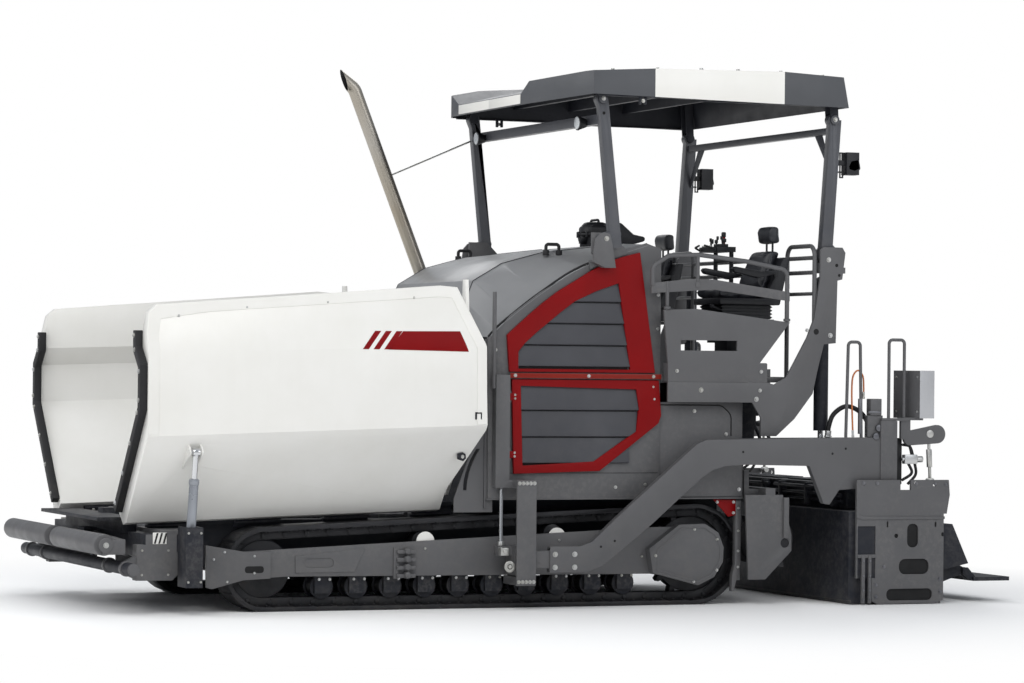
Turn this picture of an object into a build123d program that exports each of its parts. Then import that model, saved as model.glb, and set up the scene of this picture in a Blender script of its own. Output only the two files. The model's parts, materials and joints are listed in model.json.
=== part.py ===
from build123d import *
from math import atan, atan2, cos, degrees, radians, sin
import os

# Asphalt paver on crawler tracks, in millimetres.
# +X points to the front (hopper), +Y to the machine's left, +Z up, and Z = 0 is the ground.
# Pieces that come in pairs are made by a loop over SIDES: the name's ending and the sign of Y.

SIDES = [("left", 1), ("right", -1)]

# --- overall -----------------------------------------------------------------
half_width = 1520          # hopper wings and screed end gates
running_gap = 0.6          # between a slide or shaft and what holds it
seat_gap = 0.4             # between two pieces that rest on each other
plate = 12                 # common sheet and plate thickness

# --- crawler tracks ----------------------------------------------------------
track_inner_y = 840
track_outer_y = 1145
shoe_thickness = 30
link_height = 65
link_width = 120
sprocket_x, sprocket_radius = -1050, 375     # radius over the shoes, so also the axle height
idler_x, idler_radius = 2300, 300
roller_radius = 72
roller_count = 10
roller_first_x, roller_pitch = -500, 262
carrier_xs = (60, 1090)
carrier_radius = 72
track_mid_y = (track_inner_y + track_outer_y) / 2

# --- track frames ------------------------------------------------------------
beam_inner_y, beam_outer_y = 880, 1160
beam_plate = 22
front_plate_y = 1190
drive_cover_y = 1240

# --- tractor body ------------------------------------------------------------
pan_y = 790                # inner frame walls
pan_bottom_z = 240
deck_z = 600               # floor under the conveyors' top run
body_rear_x = -1400
bulkhead_x = 660
fender_z = 790             # plate above the tracks
side_y = 1240              # outer face of the body's side plates
body_shoulder_z = 1650
bulkhead_top_z = 1960

# --- engine hood -------------------------------------------------------------
hood_edge_y = 1214
hood_crown_y = 800
hood_sheet = 12
hood_rear_x, hood_rear_z = -600, 2690
# hood profiles from the front edge to the rear edge: x, height at the crown, then x, height at the edge
hood_profile = [
    (690, 1990, 655, 1972),
    (680, 2230, 590, 2040),
    (610, 2390, 480, 2130),
    (390, 2520, 250, 2300),
    (60, 2610, -80, 2500),
    (hood_rear_x, hood_rear_z, hood_rear_x, 2672),
]
notch_x, notch_y = 150, -880     # corner of the hood's notch round the exhaust pipe
notch_gap = 8

# --- side grilles ------------------------------------------------------------
grille_thickness = 26
door_gap = 2

# --- conveyors ---------------------------------------------------------------
conveyor_inner_y, conveyor_outer_y = 70, 640
conveyor_front_x, conveyor_rear_x = 3080, -1330
conveyor_top_z, conveyor_low_z = 668, 330

# --- hopper ------------------------------------------------------------------
hinge_y = 860
hinge_front_x, hinge_front_z = 3280, 657
hinge_rear_x, hinge_rear_z = 770, 745
# closed section of a wing: y, height above the hinge line
wing_section = [
    (812, 40), (1500, 795), (1500, 1075), (1352, 1205), (1352, 1640),
    (1376, 1640), (half_width, 1163), (half_width, 593), (1000, -25), (920, -40),
]
# side outline of a wing: x, z
wing_outline = [
    (3285, 500), (3285, 1960), (3262, 2110), (3200, 2165), (2840, 2200), (1090, 2335), (960, 2325),
    (775, 1900), (765, 1300), (930, 860), (930, 500),
]

# --- wing cylinders ----------------------------------------------------------
wing_cylinder_x = 2930
wing_cylinder_foot = (1335, 300)         # y, z of the barrel's pin
wing_cylinder_eye = (1490, 1142)         # y, z of the rod's eye, wings as parked
wing_barrel_radius, wing_rod_radius = 33, 20
wing_barrel_length = 660

# --- push rollers ------------------------------------------------------------
push_roller_x, push_roller_z, push_roller_radius = 3525, 494, 75
push_roller_y = (75, 1300)
beam_pivot_x = 3300

# --- tow points and arms -----------------------------------------------------
tow_x, tow_z = 430, 365
arm_y = (1385, 1445)

# --- screed ------------------------------------------------------------------
screed_y = 1450
screed_front_x, screed_rear_x = -2180, -2560
extension_front_x = -2620
gate_y = (1476, 1500)
guide_tube_radius = 42
# guide tubes of the extensions: x, z
guide_tubes = [(-2720, 430), (-2860, 220)]

# --- augers ------------------------------------------------------------------
auger_x, auger_z, auger_radius = -1720, 460, 190
auger_y = (90, 1280)
auger_pitch = 296

# --- screed lift cylinders ---------------------------------------------------
lift_x, lift_y = -2080, 1165
lift_pin_z, lift_eye_z = 2430, 1200

# --- platform ----------------------------------------------------------------
floor_z = 1700
floor_rear_x, floor_lip_x = -1900, -1965
floor_half = 1250
panel_y = (1325, 1345)
post_y = (1252, 1323)
seat_x, seat_y = -1500, 950

# --- canopy ------------------------------------------------------------------
post_rise = 1030                         # between a post's two pins, and the same for both pairs
post_lean = 30                           # how far a post's upper pin stands in front of its lower pin
front_pin_x, front_pin_z = -220, 2700    # lower pins
rear_pin_x, rear_pin_z = -2120, 2610
post_pin_radius = 16
roof_front_x, roof_rear_x = 180, -2150
roof_half_width, visor_half_width = 1447, 640


# --- helpers: each adds to the part that is being built ------------------------

def side_plate(points, y_low, y_high, mode=Mode.ADD):
    """A flat plate standing in X and Z, between two values of Y."""
    with BuildSketch(Plane.XZ.offset(-y_high)) as face:
        with BuildLine():
            Polyline(*points, close=True)
        make_face()
    extrude(face.sketch, amount=y_high - y_low, mode=mode)


def mirrored_plate(points, y_low, y_high, sign, mode=Mode.ADD):
    """The same plate on the left (sign 1) or right (sign -1) side."""
    low, high = sorted((sign * y_low, sign * y_high))
    side_plate(points, low, high, mode)


def block(x, y, z, mode=Mode.ADD):
    """A box from three pairs of limits, in any order."""
    spans = [sorted(pair) for pair in (x, y, z)]
    middle = tuple((low + high) / 2 for low, high in spans)
    size = [high - low for low, high in spans]
    with Locations(middle):
        Box(*size, mode=mode)


def side_block(x, y, z, sign, mode=Mode.ADD):
    """A box whose Y limits are given for the left side."""
    block(x, (sign * y[0], sign * y[1]), z, mode)


def rod(start, end, radius, mode=Mode.ADD):
    """A round bar between two points."""
    axis = Vector(*end) - Vector(*start)
    with Locations(Plane(origin=start, z_dir=axis)):
        Cylinder(radius, axis.length, align=(Align.CENTER, Align.CENTER, Align.MIN), mode=mode)


def cross_rod(x, z, y_low, y_high, radius, mode=Mode.ADD):
    """A round bar along Y."""
    rod((x, y_low, z), (x, y_high, z), radius, mode)


def bent_tube(points, bend, radius, bore=0, mode=Mode.ADD):
    """A round bar or tube along straight runs joined by arcs."""
    with BuildLine() as path:
        FilletPolyline(*points, radius=bend)
    with BuildSketch(path.line ^ 0) as ring:
        Circle(radius)
        if bore:
            Circle(bore, mode=Mode.SUBTRACT)
    sweep(ring.sketch, path=path.line, mode=mode)


def bar_outline(start, end, radius_start, radius_end):
    """A straight bar with rounded ends in X and Z, as a sketch on the XZ plane's axes."""
    with BuildSketch() as outline:
        with Locations(start):
            Circle(radius_start)
        with Locations(end):
            Circle(radius_end)
        make_hull()
    return outline.sketch


def rounded_bar(start, end, radii, y_low, y_high, mode=Mode.ADD):
    """A flat bar with rounded ends, standing in X and Z."""
    face = Plane.XZ.offset(-y_high) * bar_outline(start, end, *radii)
    extrude(face, amount=y_high - y_low, mode=mode)


def sheet_outline(points, thickness):
    """Closed outline of a bent sheet: the given line and the same line moved to its left side."""
    inner = []
    for count, (x, z) in enumerate(points):
        normals = []
        for start, end in ((count - 1, count), (count, count + 1)):
            if start >= 0 and end < len(points):
                dx, dz = points[end][0] - points[start][0], points[end][1] - points[start][1]
                length = (dx * dx + dz * dz) ** 0.5
                normals.append((-dz / length, dx / length))
        nx = sum(normal[0] for normal in normals) / len(normals)
        nz = sum(normal[1] for normal in normals) / len(normals)
        scale = thickness / (nx * nx + nz * nz)
        inner.append((x + nx * scale, z + nz * scale))
    return points + inner[::-1]


def finish(name, part):
    """Label a finished piece and write it."""
    part.label = name
    export_step(part, f"parts/{name}.step")


# --- crawler tracks: one closed loop each, round the idler and the sprocket ------

track_tilt = 2 * atan((sprocket_radius - idler_radius) / (idler_x - sprocket_x))


def track_loop(inset):
    """The loop's closed line, moved inwards; both lower tangent points stand over an axle."""
    rear, front = sprocket_radius - inset, idler_radius - inset
    rear_top = (sprocket_x + rear * sin(track_tilt), sprocket_radius + rear * cos(track_tilt))
    front_top = (idler_x + front * sin(track_tilt), idler_radius + front * cos(track_tilt))
    front_low, rear_low = (idler_x, inset), (sprocket_x, inset)
    Line(rear_top, front_top)
    ThreePointArc(front_top, (idler_x + front, idler_radius), front_low)
    Line(front_low, rear_low)
    ThreePointArc(rear_low, (sprocket_x - rear, sprocket_radius), rear_top)


def loop_band(outer_inset, inner_inset, y_low, y_high):
    """A band of the loop between two insets."""
    with BuildSketch(Plane.XZ.offset(-y_high)) as band:
        with BuildLine():
            track_loop(outer_inset)
        make_face()
        with BuildLine():
            track_loop(inner_inset)
        make_face(mode=Mode.SUBTRACT)
    extrude(band.sketch, amount=y_high - y_low)


def upper_run_z(x, inset):
    """Height of the upper run's line over x."""
    rear = sprocket_radius - inset
    start_x = sprocket_x + rear * sin(track_tilt)
    start_z = sprocket_radius + rear * cos(track_tilt)
    return start_z - (x - start_x) * sin(track_tilt) / cos(track_tilt)


os.makedirs("parts", exist_ok=True)

chain_inset = shoe_thickness + link_height
for name, sign in SIDES:
    shoe_low, shoe_high = sorted((sign * track_inner_y, sign * track_outer_y))
    link_middle = sign * track_mid_y
    with BuildPart() as track:
        loop_band(0, shoe_thickness, shoe_low, shoe_high)
        loop_band(shoe_thickness - 5, chain_inset, link_middle - link_width / 2, link_middle + link_width / 2)
    finish(f"track_{name}", track.part)

# wheels of each track: idler, sprocket, lower rollers and carrier rollers, with their axles
wheel_half = link_width / 2 + 22
roller_z = chain_inset + running_gap + roller_radius
roller_xs = [roller_first_x + count * roller_pitch for count in range(roller_count)]
plate_inner_y = beam_outer_y - beam_plate
for name, sign in SIDES:
    middle = sign * track_mid_y
    axle_ends = sorted((sign * (beam_inner_y + beam_plate + seat_gap), sign * (plate_inner_y - seat_gap)))
    hub_ends = sorted((middle, sign * (plate_inner_y - seat_gap)))
    with BuildPart() as wheels:
        cross_rod(idler_x, idler_radius, middle - link_width / 2, middle + link_width / 2,
                  idler_radius - chain_inset - running_gap)
        cross_rod(idler_x, idler_radius, *axle_ends, 45)
        cross_rod(sprocket_x, sprocket_radius, middle - 45, middle + 45,
                  sprocket_radius - chain_inset - running_gap)
        cross_rod(sprocket_x, sprocket_radius, *hub_ends, 150)
        for x in roller_xs:
            cross_rod(x, roller_z, middle - wheel_half, middle + wheel_half, roller_radius)
        for x in carrier_xs:
            z = upper_run_z(x, chain_inset) - running_gap - carrier_radius
            cross_rod(x, z, *hub_ends, carrier_radius - 40)
            cross_rod(x, z, middle - link_width / 2, middle + link_width / 2, carrier_radius)
    finish(f"track_wheels_{name}", wheels.part)

# --- track frames: a box beam inside the loop, side plates, roller brackets and drive cover ------

beam_rear_x, beam_front_x = -740, 2070
beam_low_z, beam_high_z = 262, 400
beam_outline = [
    (2490, 430), (1620, 462), (530, 530), (-420, 562), (-700, 580), (-1050, 580), (-1190, 470),
    (-1190, 280), (-1050, 180), (-680, 235), (2160, 250), (2480, 232),
]
inner_outline = [(2400, 400), (-1050, 400), (-1050, 262), (2400, 262)]
front_outline = [(2760, 480), (2480, 432), (2280, 430), (2280, 240), (2480, 230), (2710, 170), (2750, 180)]
drive_outline = [(-640, 425), (-880, 600), (-1090, 605), (-1200, 540), (-1245, 430), (-1240, 320),
                 (-1170, 210), (-1040, 150), (-670, 245)]
bracket_half = 62
for name, sign in SIDES:
    with BuildPart() as track_frame:
        side_block((beam_rear_x, beam_front_x), (beam_inner_y, plate_inner_y), (beam_low_z, beam_high_z),
                   sign)
        mirrored_plate(beam_outline, plate_inner_y, beam_outer_y, sign)
        mirrored_plate(inner_outline, beam_inner_y, beam_inner_y + beam_plate, sign)
        mirrored_plate(front_outline, beam_outer_y, front_plate_y, sign)
        mirrored_plate(drive_outline, beam_outer_y, drive_cover_y, sign)
        for x in roller_xs:
            bracket_x = (x - bracket_half, x + bracket_half)
            bracket_z = (roller_z - 45, beam_low_z)
            outer = track_mid_y + wheel_half + seat_gap
            inner = track_mid_y - wheel_half - seat_gap
            side_block(bracket_x, (outer, outer + 34), bracket_z, sign)
            side_block(bracket_x, (inner - 28, inner), bracket_z, sign)
    finish(f"track_frame_{name}", track_frame.part)

# --- main frame: trough for the conveyors between the tracks, and the deck above them ------

pan_front_x, trough_front_x = 2450, 3050
deck_rear_x, deck_front_x = -1060, 2810          # the deck stops short of the conveyors' drums
wall_outline = [
    (body_rear_x, pan_bottom_z), (pan_front_x, pan_bottom_z), (trough_front_x, 430),
    (trough_front_x, deck_z), (bulkhead_x, deck_z), (bulkhead_x, fender_z), (body_rear_x, fender_z),
]
cross_member_xs = (-400, 1600)
engine_feet_xs = (-330, 330)
engine_low_z, engine_high_z = 1000, 1800
auger_guide_y, auger_guide_x = (1100, 1160), -1440
rear_stay_y = (1180, 1200)
with BuildPart() as main_frame:
    for name, sign in SIDES:
        mirrored_plate(wall_outline, pan_y - plate, pan_y, sign)
        for x in cross_member_xs:
            side_block((x - 90, x + 90), (pan_y - plate, beam_inner_y - seat_gap),
                       (beam_low_z + 15, beam_high_z - 10), sign)
        side_block((body_rear_x, body_rear_x + 50), rear_stay_y, (180, fender_z), sign)
        side_block((body_rear_x, auger_guide_x), auger_guide_y, (fender_z, 1150), sign)
        side_block((bulkhead_x - 60, bulkhead_x), (side_y - 200, side_y - 20), (fender_z, 1650), sign)
    block((body_rear_x, pan_front_x), (-pan_y, pan_y), (pan_bottom_z, pan_bottom_z + plate))
    block((deck_rear_x, deck_front_x), (-pan_y, pan_y), (deck_z, deck_z + plate))
    block((body_rear_x, bulkhead_x), (-side_y, side_y), (fender_z, fender_z + plate))
    block((body_rear_x, body_rear_x + plate), (-side_y + 20, side_y - 20), (fender_z, body_shoulder_z))
    block((bulkhead_x, bulkhead_x + plate), (-side_y + 20, side_y - 20), (fender_z - 60, bulkhead_top_z))
    for x in engine_feet_xs:
        block((x - 50, x + 50), (-330, 330), (fender_z, engine_low_z - seat_gap))
finish("main_frame", main_frame.part)

with BuildPart() as engine:
    block((-460, 480), (-400, 400), (engine_low_z, engine_high_z))
finish("engine", engine.part)

# --- slat conveyors: two closed loops that run over the deck, to the augers ------

belt_thickness = 30
with BuildPart() as slat_conveyors:
    for name, sign in SIDES:
        low, high = sorted((sign * conveyor_inner_y, sign * conveyor_outer_y))
        height = conveyor_top_z - conveyor_low_z
        span = conveyor_front_x - conveyor_rear_x
        with BuildSketch(Plane.XZ.offset(-high)) as belt:
            with Locations(((conveyor_front_x + conveyor_rear_x) / 2, conveyor_low_z + height / 2)):
                SlotOverall(span, height)
                SlotOverall(span - 2 * belt_thickness, height - 2 * belt_thickness, mode=Mode.SUBTRACT)
        extrude(belt.sketch, amount=high - low)
        for x in (conveyor_rear_x + height / 2, conveyor_front_x - height / 2):
            cross_rod(x, conveyor_low_z + height / 2, low, high, height / 2 - belt_thickness - running_gap)
            side_block((x - 30, x + 30), (conveyor_outer_y, pan_y - plate - seat_gap),
                       (conveyor_low_z + height / 2 - 30, conveyor_low_z + height / 2 + 30), sign)
finish("slat_conveyors", slat_conveyors.part)

# --- hopper: fixed base with hinges, push-beam lugs, side boxes and cylinder pillars ------

hinge_slope = (hinge_rear_z - hinge_front_z) / (hinge_rear_x - hinge_front_x)


def hinge_z(x):
    """Height of the wing hinges' line over x."""
    return hinge_front_z + (x - hinge_front_x) * hinge_slope


def along_hinge(section, x_low, x_high, sign, mode=Mode.ADD):
    """Extrude a section (y, height above the hinge line) along the hinge line."""
    middle = (x_low + x_high) / 2
    along = (sign, 0, sign * hinge_slope)
    plane = Plane(origin=(middle, 0, hinge_z(middle)), x_dir=(0, sign, 0), z_dir=along)
    with BuildSketch(plane) as face:
        with BuildLine():
            Polyline(*section, close=True)
        make_face()
    extrude(face.sketch, amount=(x_high - x_low) / 2, both=True, mode=mode)


def hinge_rod(x_low, x_high, sign, radius, mode=Mode.ADD):
    """A round bar on the hinge line."""
    rod((x_low, sign * hinge_y, hinge_z(x_low)), (x_high, sign * hinge_y, hinge_z(x_high)), radius, mode)


hinge_spans = [(2750, 3090), (2100, 2440), (1430, 1770), (790, 1100)]
hinge_rod_radius = 22
hinge_bracket = [(pan_y + seat_gap, -100), (834, -100), (834, -66), (900, -66), (900, -54), (868, -54),
                 (868, -5), (846, -5), (846, -54), (pan_y + seat_gap, -54)]
pillar_x, pillar_cheek = (2870, 2990), 15
pillar_y, pillar_z = (1280, 1488), (200, 620)
cylinder_pin_radius = 15
side_box_outline = [(3280, 240), (3280, 490), (3020, 490), (2940, 590), (2820, 590), (2820, 430), (3020, 240)]
cross_tube_x, cross_tube_z, cross_tube_radius = 3370, 330, 45
pivot_radius = 30
with BuildPart() as hopper_base:
    block((700, 3200), (-62, 62), (deck_z + plate + seat_gap, 700))
    block((3090, 3215), (-1250, 1250), (400, 562))
    block((3240, 3440), (-790, 790), (640, 664))
    block((3150, 3250), (-790, 790), (550, 664))
    block((3200, 3345), (-90, 90), (400, 425))
    block((3200, 3345), (-90, 90), (537, 562))
    rod((beam_pivot_x, 0, 410), (beam_pivot_x, 0, 550), pivot_radius)
    cross_rod(cross_tube_x, cross_tube_z, -1500, 1500, cross_tube_radius)
    for name, sign in SIDES:
        side_block((trough_front_x + seat_gap, trough_front_x + 60), (660, 1250), (440, 590), sign)
        mirrored_plate(side_box_outline, 1150, 1250, sign)
        mirrored_plate([(3260, 240), (3370, 290), (3370, 370), (3260, 420)], 1180, 1240, sign)
        side_block((2820, 3080), (pan_y + seat_gap, 1250), (440, 590), sign)
        side_block((700, trough_front_x), (650, 806), (deck_z + plate + seat_gap, 640), sign)
        for x_low, x_high in hinge_spans:
            along_hinge(hinge_bracket, x_low, x_high, sign)
            hinge_rod(x_low, x_high, sign, hinge_rod_radius)
        for x in (pillar_x[0], pillar_x[1] - pillar_cheek):
            side_block((x, x + pillar_cheek), pillar_y, pillar_z, sign)
        side_block(pillar_x, (pillar_y[1] - 10, pillar_y[1]), pillar_z, sign)
        side_block(pillar_x, (1240, pillar_y[0] + 10), (440, pillar_z[1] - 60), sign)
        side_block((pillar_x[0] + pillar_cheek, pillar_x[1] - pillar_cheek), (1180, pillar_y[1] - 10),
                   (350, 700), sign, Mode.SUBTRACT)
        rod((pillar_x[0], sign * wing_cylinder_foot[0], wing_cylinder_foot[1]),
            (pillar_x[1], sign * wing_cylinder_foot[0], wing_cylinder_foot[1]), cylinder_pin_radius)
finish("hopper_base", hopper_base.part)

# --- hopper wings: box-walled sides that fold in about the hinge line ------

wing_rear_section = [(840, 70), (1500, 795), (1500, 1075), (1352, 1205), (1352, 1640), (1300, 1640),
                     (1180, 900), (900, 420)]
lug_cheek, lug_gap = 12, 38               # half the room between the lug's cheeks
for name, sign in SIDES:
    eye_y, eye_z = wing_cylinder_eye
    with BuildPart() as wing:
        along_hinge(wing_section, 740, 3300, sign)
        low, high = sorted((sign * 700, sign * half_width))
        side_plate(wing_outline, low, high, mode=Mode.INTERSECT)
        along_hinge(wing_rear_section, 800, 825, sign)
        for x_low, x_high in hinge_spans:
            hinge_rod(x_low - 6, x_high + 6, sign, hinge_rod_radius + running_gap, Mode.SUBTRACT)
        for x in (wing_cylinder_x - lug_gap - lug_cheek, wing_cylinder_x + lug_gap):
            with BuildSketch(Plane.YZ.offset(x)) as cheek:
                with BuildLine():
                    Polyline((sign * 1330, eye_z - 120), (sign * (eye_y + 8), eye_z - 26),
                             (sign * (eye_y + 26), eye_z), (sign * (eye_y + 8), eye_z + 26),
                             (sign * 1400, eye_z + 100), close=True)
                make_face()
                with Locations((sign * eye_y, eye_z)):
                    Circle(cylinder_pin_radius, mode=Mode.SUBTRACT)
            extrude(cheek.sketch, amount=lug_cheek)
    finish(f"hopper_wing_{name}", wing.part)

# wing cylinders: barrel on its pin at the foot, rod up to the wing's lug
barrel_eye_radius, rod_eye_radius = 30, 28
barrel_bore_start, wing_rod_length = 60, 600
for name, sign in SIDES:
    foot = Vector(wing_cylinder_x, sign * wing_cylinder_foot[0], wing_cylinder_foot[1])
    eye = Vector(wing_cylinder_x, sign * wing_cylinder_eye[0], wing_cylinder_eye[1])
    direction = (eye - foot).normalized()
    bore = wing_rod_radius + running_gap
    with BuildPart() as barrel:
        rod(foot, foot + direction * wing_barrel_length, wing_barrel_radius)
        rod(foot - (32, 0, 0), foot + (32, 0, 0), barrel_eye_radius)
        rod(foot + direction * barrel_bore_start, foot + direction * (wing_barrel_length + 10), bore,
            Mode.SUBTRACT)
        rod(foot - (40, 0, 0), foot + (40, 0, 0), cylinder_pin_radius + running_gap, Mode.SUBTRACT)
    finish(f"wing_cylinder_barrel_{name}", barrel.part)
    with BuildPart() as piston:
        rod(eye - direction * wing_rod_length, eye, wing_rod_radius)
        rod(eye - (24, 0, 0), eye + (24, 0, 0), rod_eye_radius)
        rod(eye - (30, 0, 0), eye + (30, 0, 0), cylinder_pin_radius, Mode.SUBTRACT)
    finish(f"wing_cylinder_rod_{name}", piston.part)

# --- push rollers on a beam that swivels about a vertical pin ------

beam_plan = [(3250, 85), (3385, 1335), (3540, 1335), (3540, 1305), (3430, 1305), (3430, 72), (3540, 72),
             (3540, -72), (3430, -72), (3430, -1305), (3540, -1305), (3540, -1335), (3385, -1335),
             (3250, -85)]
roller_pin_radius = 22
with BuildPart() as push_roller_beam:
    with BuildSketch(Plane.XY.offset(428)):
        with BuildLine():
            Polyline(*beam_plan, close=True)
        make_face()
    extrude(amount=104)
    rod((beam_pivot_x, 0, 400), (beam_pivot_x, 0, 560), pivot_radius + running_gap, Mode.SUBTRACT)
    for name, sign in SIDES:
        low, high = sorted((sign * 40, sign * 1335))
        cross_rod(push_roller_x, push_roller_z, low, high, roller_pin_radius)
finish("push_roller_beam", push_roller_beam.part)

for name, sign in SIDES:
    low, high = sorted((sign * push_roller_y[0], sign * push_roller_y[1]))
    with BuildPart() as push_roller:
        cross_rod(push_roller_x, push_roller_z, low, high, push_roller_radius)
        cross_rod(push_roller_x, push_roller_z, low - 1, high + 1, roller_pin_radius + running_gap,
                  Mode.SUBTRACT)
    finish(f"push_roller_{name}", push_roller.part)

# --- engine cowling: side panels, rear wall and the fixed shoulder round the exhaust pipe ------


def hood_loft(edge_y):
    """The hood's bent sheet over the whole width."""
    crown = sheet_outline([(point[0], point[1]) for point in hood_profile], hood_sheet)
    edge = sheet_outline([(point[2], point[3]) for point in hood_profile], hood_sheet)
    sections = []
    for y, outline in ((-edge_y, edge), (-hood_crown_y, crown), (hood_crown_y, crown), (edge_y, edge)):
        with BuildSketch(Plane.XZ.offset(-y)) as section:
            with BuildLine():
                Polyline(*outline, close=True)
            make_face()
        sections.append(section.sketch)
    loft(sections, ruled=True)


panel_low_z = fender_z + plate + seat_gap
panel_outline = [
    (650, panel_low_z), (660, 1966), (600, 2010), (490, 2130), (260, 2300), (-20, 2462), (-280, 2590),
    (-590, 2680), (-712, 2640), (-712, panel_low_z),
]
door_opening = [(400, 1610), (-500, 1590), (-520, 1460), (-500, 1300), (-170, 1080), (380, 1050)]
seam_bar_x, seam_bar_z = (-705, 500), (1676, 1714)
firewall_x = -712
exhaust_y, exhaust_radius, exhaust_bore = -980, 52, 47
exhaust_path = [(290, 2050), (330, 2420), (928, 3920), (1075, 4023)]
exhaust_mouth = [(954, 3820), (1083, 4180), (1300, 4180), (1300, 3820)]
exhaust_points = [(x, exhaust_y, z) for x, z in exhaust_path]
exhaust_bend = 120
outer_bracket = [(-215, 2748), (-175, 2740), (-140, 2700), (-124, 2600), (-124, 2530), (-230, 2490),
                 (-300, 2490), (-272, 2660), (-252, 2735)]
inner_bracket = [(-150, 2750), (-150, 2600), (-230, 2530), (-280, 2552), (-430, 2594), (-430, 2620),
                 (-300, 2750)]
outer_post_base = [(-124, 2545), (-124, 2530), (-215, 2490), (-296, 2490), (-290, 2545)]
inner_post_base = [(-130, 2545), (-130, 2480), (-230, 2530), (-262, 2545)]
hinge_post_x, hinge_post_y, hinge_pin_radius = 492, 1262, 8
hinge_zs = (1120, 1540)
inner_cheek_y, outer_cheek_y = (1224, 1251), (1325, 1345)
post_end_radius = 45
with BuildPart() as engine_cowling:
    hood_loft(side_y - 8)
    block((notch_x, 1000), (-side_y, notch_y), (1000, 3000), Mode.INTERSECT)
    bent_tube(exhaust_points, exhaust_bend, exhaust_radius + running_gap, mode=Mode.SUBTRACT)
    for name, sign in SIDES:
        mirrored_plate(panel_outline, side_y - 20, side_y, sign)
        mirrored_plate(door_opening, side_y - 40, side_y + 20, sign, Mode.SUBTRACT)
        side_block(seam_bar_x, (side_y - 5, side_y + 40), seam_bar_z, sign)
        mirrored_plate(inner_bracket, *inner_cheek_y, sign)
        mirrored_plate(outer_bracket, *outer_cheek_y, sign)
        mirrored_plate(inner_post_base, side_y - 10, side_y + 30, sign)
        mirrored_plate(outer_post_base, side_y + 30, outer_cheek_y[1], sign)
        cross_rod(front_pin_x, front_pin_z, *sorted((sign * inner_cheek_y[0], sign * outer_cheek_y[1])),
                  post_pin_radius)
        for z in hinge_zs:
            for low in (z - 42, z + 28):
                side_block((484, 504), (side_y - 5, hinge_post_y + 6), (low, low + 14), sign)
            rod((hinge_post_x, sign * hinge_post_y, z - 35), (hinge_post_x, sign * hinge_post_y, z + 35),
                hinge_pin_radius)
    block((firewall_x, firewall_x + plate), (-side_y + 20, side_y - 20), (floor_z + 60, 2600))
    block((firewall_x, firewall_x + 150), (-side_y + 20, side_y - 20), (floor_z - 60, floor_z + 72))
    block((-700, -575), (-780, 780), (2560, 2674.4))
    block((-700, -640), (-side_y + 20, side_y - 20), (2540, 2600))
finish("engine_cowling", engine_cowling.part)

# hood: opens about its rear edge
with BuildPart() as engine_hood:
    hood_loft(hood_edge_y)
    block((notch_x - notch_gap, 1000), (-2000, notch_y + notch_gap), (1000, 3000), Mode.SUBTRACT)
    bent_tube([(70, 900, 2590), (70, 900, 2668), (-30, 900, 2668), (-30, 900, 2590)], 20, 10)
finish("engine_hood", engine_hood.part)

# --- side grilles: the upper ones bolted on, the lower ones doors on front hinges ------

upper_outer = [(500, 1722), (520, 1990), (440, 2060), (250, 2220), (-10, 2390), (-280, 2540), (-530, 2610),
               (-660, 1722)]
upper_inner = [(430, 1745), (430, 1870), (380, 1930), (200, 2080), (-10, 2240), (-360, 2380), (-460, 1745)]
lower_outer = [(480, 1668), (-690, 1668), (-712, 1410), (-690, 1350), (-220, 1000), (460, 980)]
lower_inner = [(410, 1620), (-510, 1600), (-530, 1460), (-510, 1290), (-170, 1070), (390, 1040)]
upper_louvres = [(2090, 2150), (1960, 2020), (1830, 1890)]
lower_louvres = [(1480, 1540), (1330, 1390), (1180, 1240)]
louvre_x = (-500, 480)
door_y = (side_y + door_gap, side_y + grille_thickness + door_gap)


def grille(outer, inner, louvres, y_low, y_high, sign):
    """A framed opening closed by slats."""
    mirrored_plate(outer, y_low, y_high, sign)
    mirrored_plate(inner, y_low - 1, y_high + 1, sign, Mode.SUBTRACT)
    for low, high in louvres:
        with BuildPart(mode=Mode.PRIVATE) as slat:
            side_block(louvre_x, (y_low + 4, y_high - 6), (low, high), sign)
            mirrored_plate(outer, y_low, y_high, sign, Mode.INTERSECT)
        add(slat.part)


with BuildPart() as upper_grilles:
    for name, sign in SIDES:
        grille(upper_outer, upper_inner, upper_louvres, side_y + seat_gap, side_y + grille_thickness, sign)
finish("upper_grilles", upper_grilles.part)

for name, sign in SIDES:
    with BuildPart() as door:
        grille(lower_outer, lower_inner, lower_louvres, *door_y, sign)
        for z in hinge_zs:
            side_block((460, hinge_post_x + 4), (hinge_post_y - 12, door_y[1]), (z - 25, z + 25), sign)
            rod((hinge_post_x, sign * hinge_post_y, z - 26), (hinge_post_x, sign * hinge_post_y, z + 26), 14)
            rod((hinge_post_x, sign * hinge_post_y, z - 30), (hinge_post_x, sign * hinge_post_y, z + 30),
                hinge_pin_radius + seat_gap, Mode.SUBTRACT)
    finish(f"grille_door_{name}", door.part)

# --- exhaust pipe with its stay, and the air intake ------

stay_start = (610, exhaust_y - 12, 3252)
stay_end = (-172, -1288, 3560)
with BuildPart() as exhaust_pipe:
    bent_tube(exhaust_points, exhaust_bend, exhaust_radius, exhaust_bore)
    side_plate(exhaust_mouth, exhaust_y - 100, exhaust_y + 100, Mode.SUBTRACT)
    rod(stay_start, stay_end, 10)
finish("exhaust_pipe", exhaust_pipe.part)

with BuildPart() as air_intake:
    block((-820, -716), (-200, 50), (2680, 2860))
    block((-716, -660), (-200, 50), (2720, 2860))
    block((-716, -660), (-180, 30), (2674.4 + seat_gap, 2720))
    fillet(air_intake.edges().group_by(Axis.Z)[-1], 30)
    bent_tube([(-740, -150, 2850), (-740, -150, 2900), (-740, 0, 2900), (-740, 0, 2850)], 20, 10)
finish("air_intake", air_intake.part)

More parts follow.
